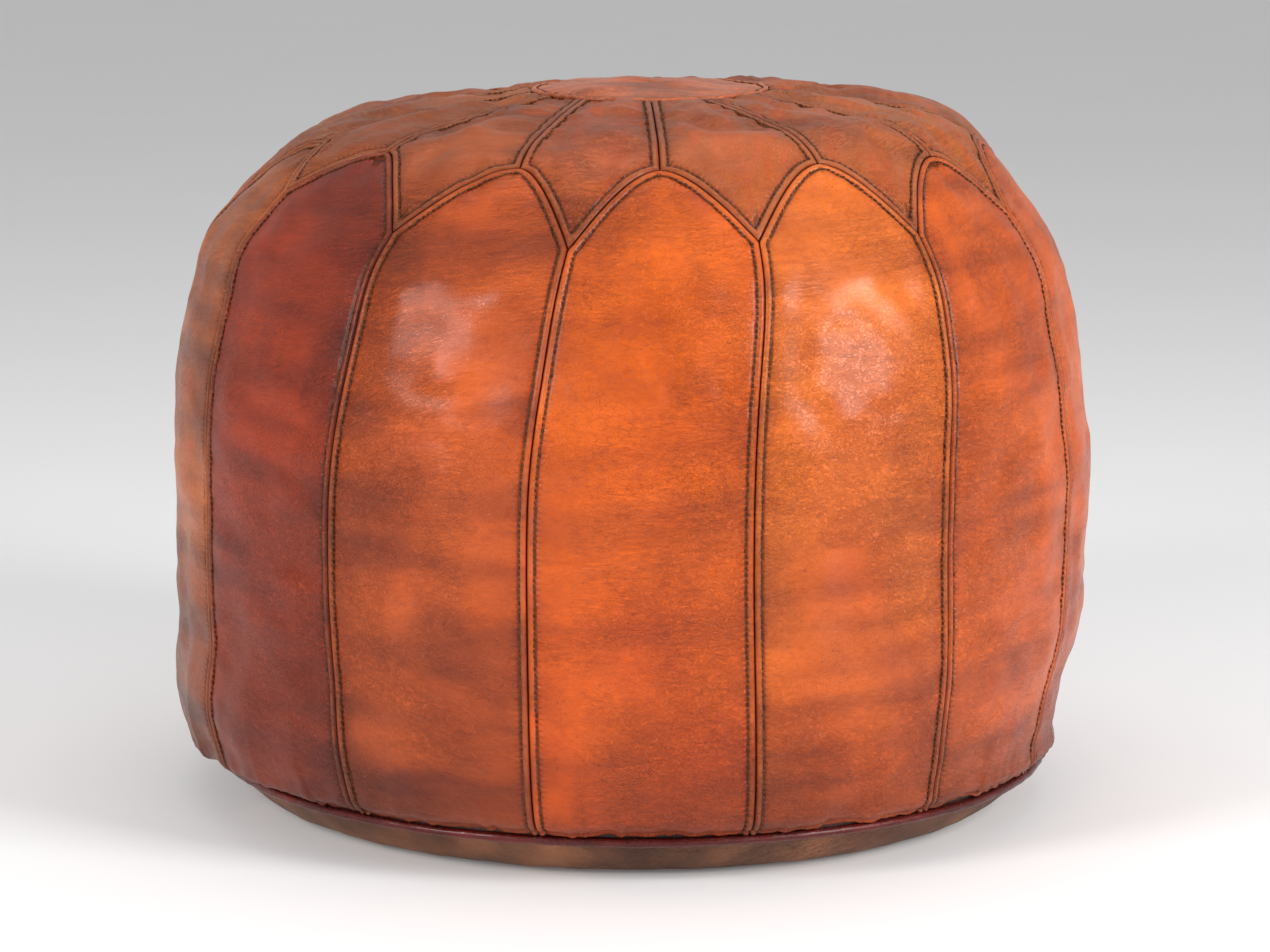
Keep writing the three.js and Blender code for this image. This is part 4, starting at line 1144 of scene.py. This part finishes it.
def base_thread(side, tree):
    runs = []
    # round the pocket
    hx, hy = POCKET[0] + 5.2 * MM, POCKET[1] + 5.2 * MM
    xs = np.arange(-hx + 2 * MM, hx - 1 * MM, PITCH)
    q = np.stack([xs, np.full_like(xs, side * hy), 0 * xs], 1)
    down = np.array([0, 0, -1.0])
    runs.append((q, np.tile([1.0, 0, 0], (len(xs), 1)), np.tile(down, (len(xs), 1)), np.ones(len(xs), bool), tree))
    for e in (1, -1):
        ys = np.arange(3 * MM, hy - 2 * MM, PITCH)
        q = np.stack([np.full_like(ys, e * hx), side * ys, 0 * ys], 1)
        runs.append((q, np.tile([0, 1.0, 0], (len(ys), 1)), np.tile(down, (len(ys), 1)), np.ones(len(ys), bool), tree))
        xs = np.arange(POCKET[0] + 8 * MM, 0.87 * R, PITCH) * e
        zz = BASE_Z(np.abs(xs))
        q = np.stack([xs, np.full_like(xs, side * 4 * MM), zz], 1)
        nrm = np.stack([np.gradient(zz, np.abs(xs)) * e, 0 * xs, -np.ones_like(xs)], 1)
        nrm /= np.linalg.norm(nrm, axis=1)[:, None]
        tan = np.cross(nrm, np.array([0, 1.0, 0]))
        runs.append((settle(q), tan, nrm, np.ones(len(xs), bool), tree))
    # along the ledge, through leather and tape
    xs = np.arange(-163 * MM, 163 * MM, PITCH)
    q = np.stack([xs, np.full_like(xs, side * 9.3 * MM), np.full_like(xs, 7.6 * MM)], 1)
    runs.append((q, np.tile([1.0, 0, 0], (len(xs), 1)), np.tile(down, (len(xs), 1)), np.ones(len(xs), bool), tree))
    return thread_piece("thread_base_back" if side > 0 else "thread_base_front", runs, 2300 + side, thick=0.9 * MM, proud=-0.2 * MM)


def tape(side):
    n, m = 420, 21
    x = np.linspace(-170, 170, n) * MM
    y = np.linspace(0.56, 15, m) * MM
    X, Y = np.meshgrid(x, y)
    bead = 0.22 * MM * np.exp(-((Y / MM - 3.5) / 0.5) ** 2)
    wave = 0.05 * MM * np.sin(X / (9 * MM)) * smooth(4 * MM, 12 * MM, Y)
    P = np.stack([X, Y * side, 10.32 * MM - bead * 0 + wave + 0 * X], -1)
    if side > 0:
        P = P[:, ::-1]
    M = grid_normals(P)
    if M[5, 5, 2] > 0:
        P = P[:, ::-1]
        M = grid_normals(P)
    P = P + M * bead[..., None] * 0.0
    o = shell_object("zip_tape_weave_back" if side > 0 else "zip_tape_weave_front", P, M, 0.72 * MM, {
        "lay": ("FLOAT_VECTOR", P)}, every=(4, 12))
    return o


def tube(name, path, radii, sides=7):
    """a closed tube along a path, with rounded ends"""
    path = np.asarray(path)
    T = np.gradient(path, axis=0)
    T /= np.linalg.norm(T, axis=1)[:, None]
    up = np.array([1.0, 0, 0])
    rings = []
    for p, t, r in zip(path, T, radii):
        a = up - t * (up @ t)
        a /= np.linalg.norm(a)
        b = np.cross(t, a)
        w = np.linspace(0, 2 * np.pi, sides, endpoint=False)
        rings.append(p + r * (np.cos(w)[:, None] * a + np.sin(w)[:, None] * b))
    V = np.concatenate(rings + [path[:1] - T[:1] * radii[0] * 0.5, path[-1:] + T[-1:] * radii[-1] * 0.5])
    n = len(path)
    idx = np.arange(n * sides).reshape(n, sides)
    nx = np.roll(idx, -1, 1)
    F = np.stack([idx[:-1], nx[:-1], nx[1:], idx[1:]], -1).reshape(-1, 4).tolist()
    F += [[int(nx[0, i]), int(idx[0, i]), n * sides] for i in range(sides)]
    F += [[int(idx[-1, i]), int(nx[-1, i]), n * sides + 1] for i in range(sides)]
    return mesh_object(name, V, F)


def coil(side):
    """one wound half of the zip"""
    turns = int(298 / 1.5)
    w = np.linspace(0, turns * 2 * math.pi, turns * 10)
    x = (-149 + 0.5 + (297 * w / w[-1])) * MM
    y = side * (1.59 + 0.73 * np.cos(w)) * MM
    z = (10.6 + 0.66 * np.sin(w)) * MM
    return tube("zip_coil_wound_back" if side > 0 else "zip_coil_wound_front",
                np.stack([x, y, z], 1), np.full(len(w), 0.33 * MM), 6)


def bevelled(node, name, width=0.25 * MM):
    """the same part with its edges rounded over"""
    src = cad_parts[node]
    me = src.data.copy()
    me.name = name
    o = bpy.data.objects.new(name, me)
    bpy.context.scene.collection.objects.link(o)
    w = o.modifiers.new("weld", "WELD")
    w.merge_threshold = 0.00001
    b = o.modifiers.new("bevel", "BEVEL")
    b.width, b.segments, b.limit_method, b.angle_limit = width, 3, "ANGLE", math.radians(40)
    b.harden_normals = False
    bpy.context.view_layer.update()
    dg = bpy.context.evaluated_depsgraph_get()
    out = bpy.data.meshes.new_from_object(o.evaluated_get(dg))
    o.modifiers.clear()
    o.data = out
    out.polygons.foreach_set("use_smooth", [False] * len(out.polygons))
    return o


def turned_cloth(name, inset, floor, mouth, seed, amp, thick, rows=70, cols=150):
    """a loose bag or its filling inside the cover: the outline drawn in, with folds"""
    s = np.linspace(PS[0] + 0.016, PS[-1], rows)
    r, z = np.interp(s, PS, PR), np.interp(s, PS, PZ)
    nr, nz = np.interp(s, PS, PNR), np.interp(s, PS, PNZ)
    pr, pz = np.maximum(r - nr * inset, 0.0004), z - nz * inset
    low = np.linspace(mouth, 0.78 * R, 14)
    up = [0.80 * R, 0.82 * R, 0.84 * R, 0.855 * R]
    pr = np.concatenate([low, up, pr])
    pz = np.concatenate([np.full(len(low), floor), floor + np.array([0.6, 2.2, 5.2, 9.0]) * MM,
                         np.maximum(pz, floor + 0.013)])
    t = np.linspace(0, 2 * np.pi, cols, endpoint=False)
    T, Rr = np.meshgrid(t, pr)
    _, Zz = np.meshgrid(t, pz)
    P = np.stack([Rr * np.sin(T), -Rr * np.cos(T), Zz], -1)
    Pw = np.concatenate([P, P[:, :1]], 1)
    M = grid_normals(Pw)[:, :-1]
    P = settle(P)
    w = Waves(seed, 0.02, 0.08)(P)
    gath = np.sin(T * 23 + 2 * np.sin(T * 3)) * np.exp(-np.clip(Rr - mouth, 0, None) / 0.05) * (Zz < floor + 0.002)
    P = P - M * (amp * (1.2 + w + 0.6 * gath) * (Rr > 0.002))[..., None] * np.where(Rr < 0.03, Rr / 0.03, 1)[..., None]
    P[..., 2] = np.maximum(P[..., 2], floor)
    n = len(pr)
    idx = np.arange(n * cols).reshape(n, cols)
    nx = np.roll(idx, -1, 1)
    F = np.stack([idx[:-1], nx[:-1], nx[1:], idx[1:]], -1).reshape(-1, 4).tolist()
    V = P.reshape(-1, 3)
    if thick:
        V2 = (P - M * thick).reshape(-1, 3)
        base = len(V)
        V = np.concatenate([V, V2, V[-cols:].mean(0)[None] + [0, 0, 0.0001], V2[-cols:].mean(0)[None]])
        F += [[q + base for q in f[::-1]] for f in F]
        F += [[int(nx[0, i]), int(idx[0, i]), int(idx[0, i]) + base, int(nx[0, i]) + base] for i in range(cols)]
        F += [[int(idx[-1, i]), int(nx[-1, i]), 2 * base] for i in range(cols)]
        F += [[int(nx[-1, i]) + base, int(idx[-1, i]) + base, 2 * base + 1] for i in range(cols)]
    else:
        V = np.concatenate([V, V[-cols:].mean(0)[None], V[:cols].mean(0)[None]])
        F += [[int(idx[-1, i]), int(nx[-1, i]), n * cols] for i in range(cols)]
        F += [[int(nx[0, i]), int(idx[0, i]), n * cols + 1] for i in range(cols)]
    return mesh_object(name, V, F)


def cloth_material(name, colour, dark, threads, rough=0.9, bump=0.5, fuzz=0.0):
    m, nt, bsdf = material(name)
    n = Net(nt)
    obj = n.node("ShaderNodeTexCoord").outputs["Object"]
    wx = n.node("ShaderNodeTexWave", wave_type="BANDS", bands_direction="X", wave_profile="SIN")
    wy = n.node("ShaderNodeTexWave", wave_type="BANDS", bands_direction="Y", wave_profile="SIN")
    for w in (wx, wy):
        nt.links.new(obj, w.inputs["Vector"])
        w.inputs["Scale"].default_value = threads
        w.inputs["Distortion"].default_value = 0.6
        w.inputs["Detail"].default_value = 2
        w.inputs["Detail Scale"].default_value = 2
    weave = n.math("MULTIPLY", wx.outputs["Fac"], wy.outputs["Fac"])
    slub = n.noise(n.scale(obj, (60, 900, 60)), 1.0, 3, 0.6)
    c = n.mix(n.ramp(weave, 0.1, 0.7), dark, colour)
    c = n.mix(n.ramp(slub, 0.45, 0.75, 0.0, 0.35), c, dark)
    nt.links.new(c, bsdf.inputs["Base Color"])
    nt.links.new(n.ramp(weave, 0.0, 1.0, rough, rough - 0.15), bsdf.inputs["Roughness"])
    bsdf.inputs["Sheen Weight"].default_value = 0.25
    nt.links.new(n.bump(n.math("ADD", weave, slub), bump, 0.0003), bsdf.inputs["Normal"])
    return m


def brass_material():
    m, nt, bsdf = material("aged_brass")
    n = Net(nt)
    obj = n.node("ShaderNodeTexCoord").outputs["Object"]
    patina = n.noise(obj, 420.0, 5, 0.65, 0.4)
    scratch = n.noise(n.scale(obj, (300, 4200, 900)), 1.0, 4, 0.6)
    c = n.mix(n.ramp(patina, 0.4, 0.66), (0.60, 0.40, 0.16, 1), (0.20, 0.115, 0.045, 1))
    c = n.mix(n.ramp(scratch, 0.6, 0.72, 0.0, 0.5), c, (0.82, 0.62, 0.32, 1))
    nt.links.new(c, bsdf.inputs["Base Color"])
    bsdf.inputs["Metallic"].default_value = 1.0
    nt.links.new(n.math("ADD", n.ramp(patina, 0.35, 0.7, 0.24, 0.52), n.ramp(scratch, 0.4, 0.7, 0.0, 0.08)), bsdf.inputs["Roughness"])
    nt.links.new(n.bump(n.math("ADD", patina, scratch), 0.25, 0.0001), bsdf.inputs["Normal"])
    return m


def nylon_material():
    m, nt, bsdf = material("zip_nylon")
    n = Net(nt)
    obj = n.node("ShaderNodeTexCoord").outputs["Object"]
    f = n.noise(obj, 900.0, 3, 0.6)
    nt.links.new(n.mix(n.ramp(f, 0.35, 0.7), (0.030, 0.016, 0.010, 1), (0.060, 0.034, 0.021, 1)), bsdf.inputs["Base Color"])
    nt.links.new(n.ramp(f, 0.3, 0.7, 0.34, 0.5), bsdf.inputs["Roughness"])
    nt.links.new(n.bump(f, 0.2, 0.0001), bsdf.inputs["Normal"])
    return m


WELT_MAT = leather("burnished_leather_welt", 0.26, 0.35, stitched=False, folds=0.6)
BASE_MAT = leather("plain_leather_base", 0.46, 0.04, stitched=True, dull=0.06, folds=1.5)
BRASS, NYLON = brass_material(), nylon_material()
TAPE_MAT = cloth_material("zip_tape_cloth", (0.085, 0.042, 0.024, 1), (0.035, 0.017, 0.010, 1), 260.0, 0.85)
LINING_MAT = cloth_material("unbleached_cotton_lining", (0.72, 0.66, 0.54, 1), (0.52, 0.46, 0.36, 1), 150.0, 0.92)
FILL_MAT = cloth_material("cotton_scrap_filling", (0.80, 0.76, 0.68, 1), (0.60, 0.55, 0.47, 1), 40.0, 0.97, 0.9)

give(welt(), WELT_MAT, "welt_leather", "edge_welt")
for side, end in ((1, "back"), (-1, "front")):
    o = base_half(side)
    give(o, BASE_MAT, "base_leather", f"base_half_{end}")
    t, c = base_thread(side, tree_of(o))
    give(t, THREAD_MAT, "seam_thread")
    give(tape(side), TAPE_MAT, "zip_tape", f"zip_tape_{end}")
    give(coil(side), NYLON, "zip_coil", f"zip_coil_{end}")
for node in ("zip_stop_closed", "zip_stop_open"):
    give(bevelled(node, node + "_metal", 0.3 * MM), BRASS, "zip_metal", node)
give(bevelled("zip_slider", "zip_slider_metal", 0.28 * MM), BRASS, "zip_metal", "zip_slider", body="slider")
give(bevelled("zip_pull_tab", "zip_pull_metal", 0.22 * MM), BRASS, "zip_metal", "zip_pull_tab", body="pull_tab")
lining = turned_cloth("cotton_lining_bag", 7.6 * MM, 14.7 * MM, 71 * MM, 51, 0.35 * MM, 0.9 * MM)
give(lining, LINING_MAT, "lining_cloth", "cloth_lining")
fill = turned_cloth("stuffing", 10.2 * MM, 17.2 * MM, 0.5 * MM, 52, 0.5 * MM, 0)
give(fill, FILL_MAT, "cotton_filling", "cotton_filling")

# ------------------------------------------------------------------ light, floor, camera
def area(name, loc, target, size, power, colour=(1, 1, 1)):
    li = bpy.data.lights.new(name, "AREA")
    li.shape = "RECTANGLE"
    li.size, li.size_y = size
    li.energy = power
    li.color = colour
    o = bpy.data.objects.new(name, li)
    bpy.context.scene.collection.objects.link(o)
    o.location = loc
    o.rotation_euler = (Vector(target) - Vector(loc)).to_track_quat("-Z", "Y").to_euler()
    return o


area("softbox_right", (1.69, -1.14, 1.07), (0.0, 0.0, 0.25), (0.74, 1.12), 41)
area("softbox_left", (-1.52, -1.37, 1.07), (0.0, 0.0, 0.25), (0.56, 0.95), 26)
area("overhead", (0.0, 0.35, 2.3), (0.0, 0.0, 0.3), (2.0, 1.4), 10)

world = bpy.data.worlds.new("studio")
bpy.context.scene.world = world
world.use_nodes = True
bg = world.node_tree.nodes["Background"]
bg.inputs[0].default_value = (1, 1, 1, 1)
bg.inputs[1].default_value = 0.44

bpy.ops.mesh.primitive_grid_add(x_subdivisions=8, y_subdivisions=8, size=60, location=(0, 0, -0.0004))
floor = bpy.context.object
floor.name = "studio_floor"
fm, fnt, fb = material("studio_floor_white")
fn = Net(fnt)
fobj = fn.node("ShaderNodeTexCoord").outputs["Object"]
fb.inputs["Roughness"].default_value = 0.8
fb.inputs["Specular IOR Level"].default_value = 0.2
paint = fn.mix(fn.noise(fobj, 3.0, 3), (0.80, 0.80, 0.80, 1), (0.83, 0.83, 0.83, 1))
fnt.links.new(paint, fb.inputs["Base Color"])
fb.inputs["Emission Color"].default_value = (1, 1, 1, 1)
fb.inputs["Emission Strength"].default_value = 0.10
floor.data.materials.append(fm)

cam_data = bpy.data.cameras.new("camera")
cam_data.sensor_fit = "HORIZONTAL"
cam_data.sensor_width = 36.0
cam_data.lens = 4184.0 / 1270.0 * 36.0
cam_data.shift_x = 3.4 / 1270.0
cam_data.clip_start = 0.05
cam_data.clip_end = 100
cam = bpy.data.objects.new("camera", cam_data)
bpy.context.scene.collection.objects.link(cam)
cam.matrix_world = (Matrix.Translation((0, -9.12 * R, 2.347 * R))
                    @ Matrix.Rotation(math.radians(90 - 10.32), 4, "X")
                    @ Matrix.Rotation(math.radians(0.4), 4, "Z"))
bpy.context.scene.camera = cam
bpy.context.scene.view_settings.view_transform = "Standard"
bpy.context.scene.view_settings.look = "None"

bpy.context.view_layer.update()
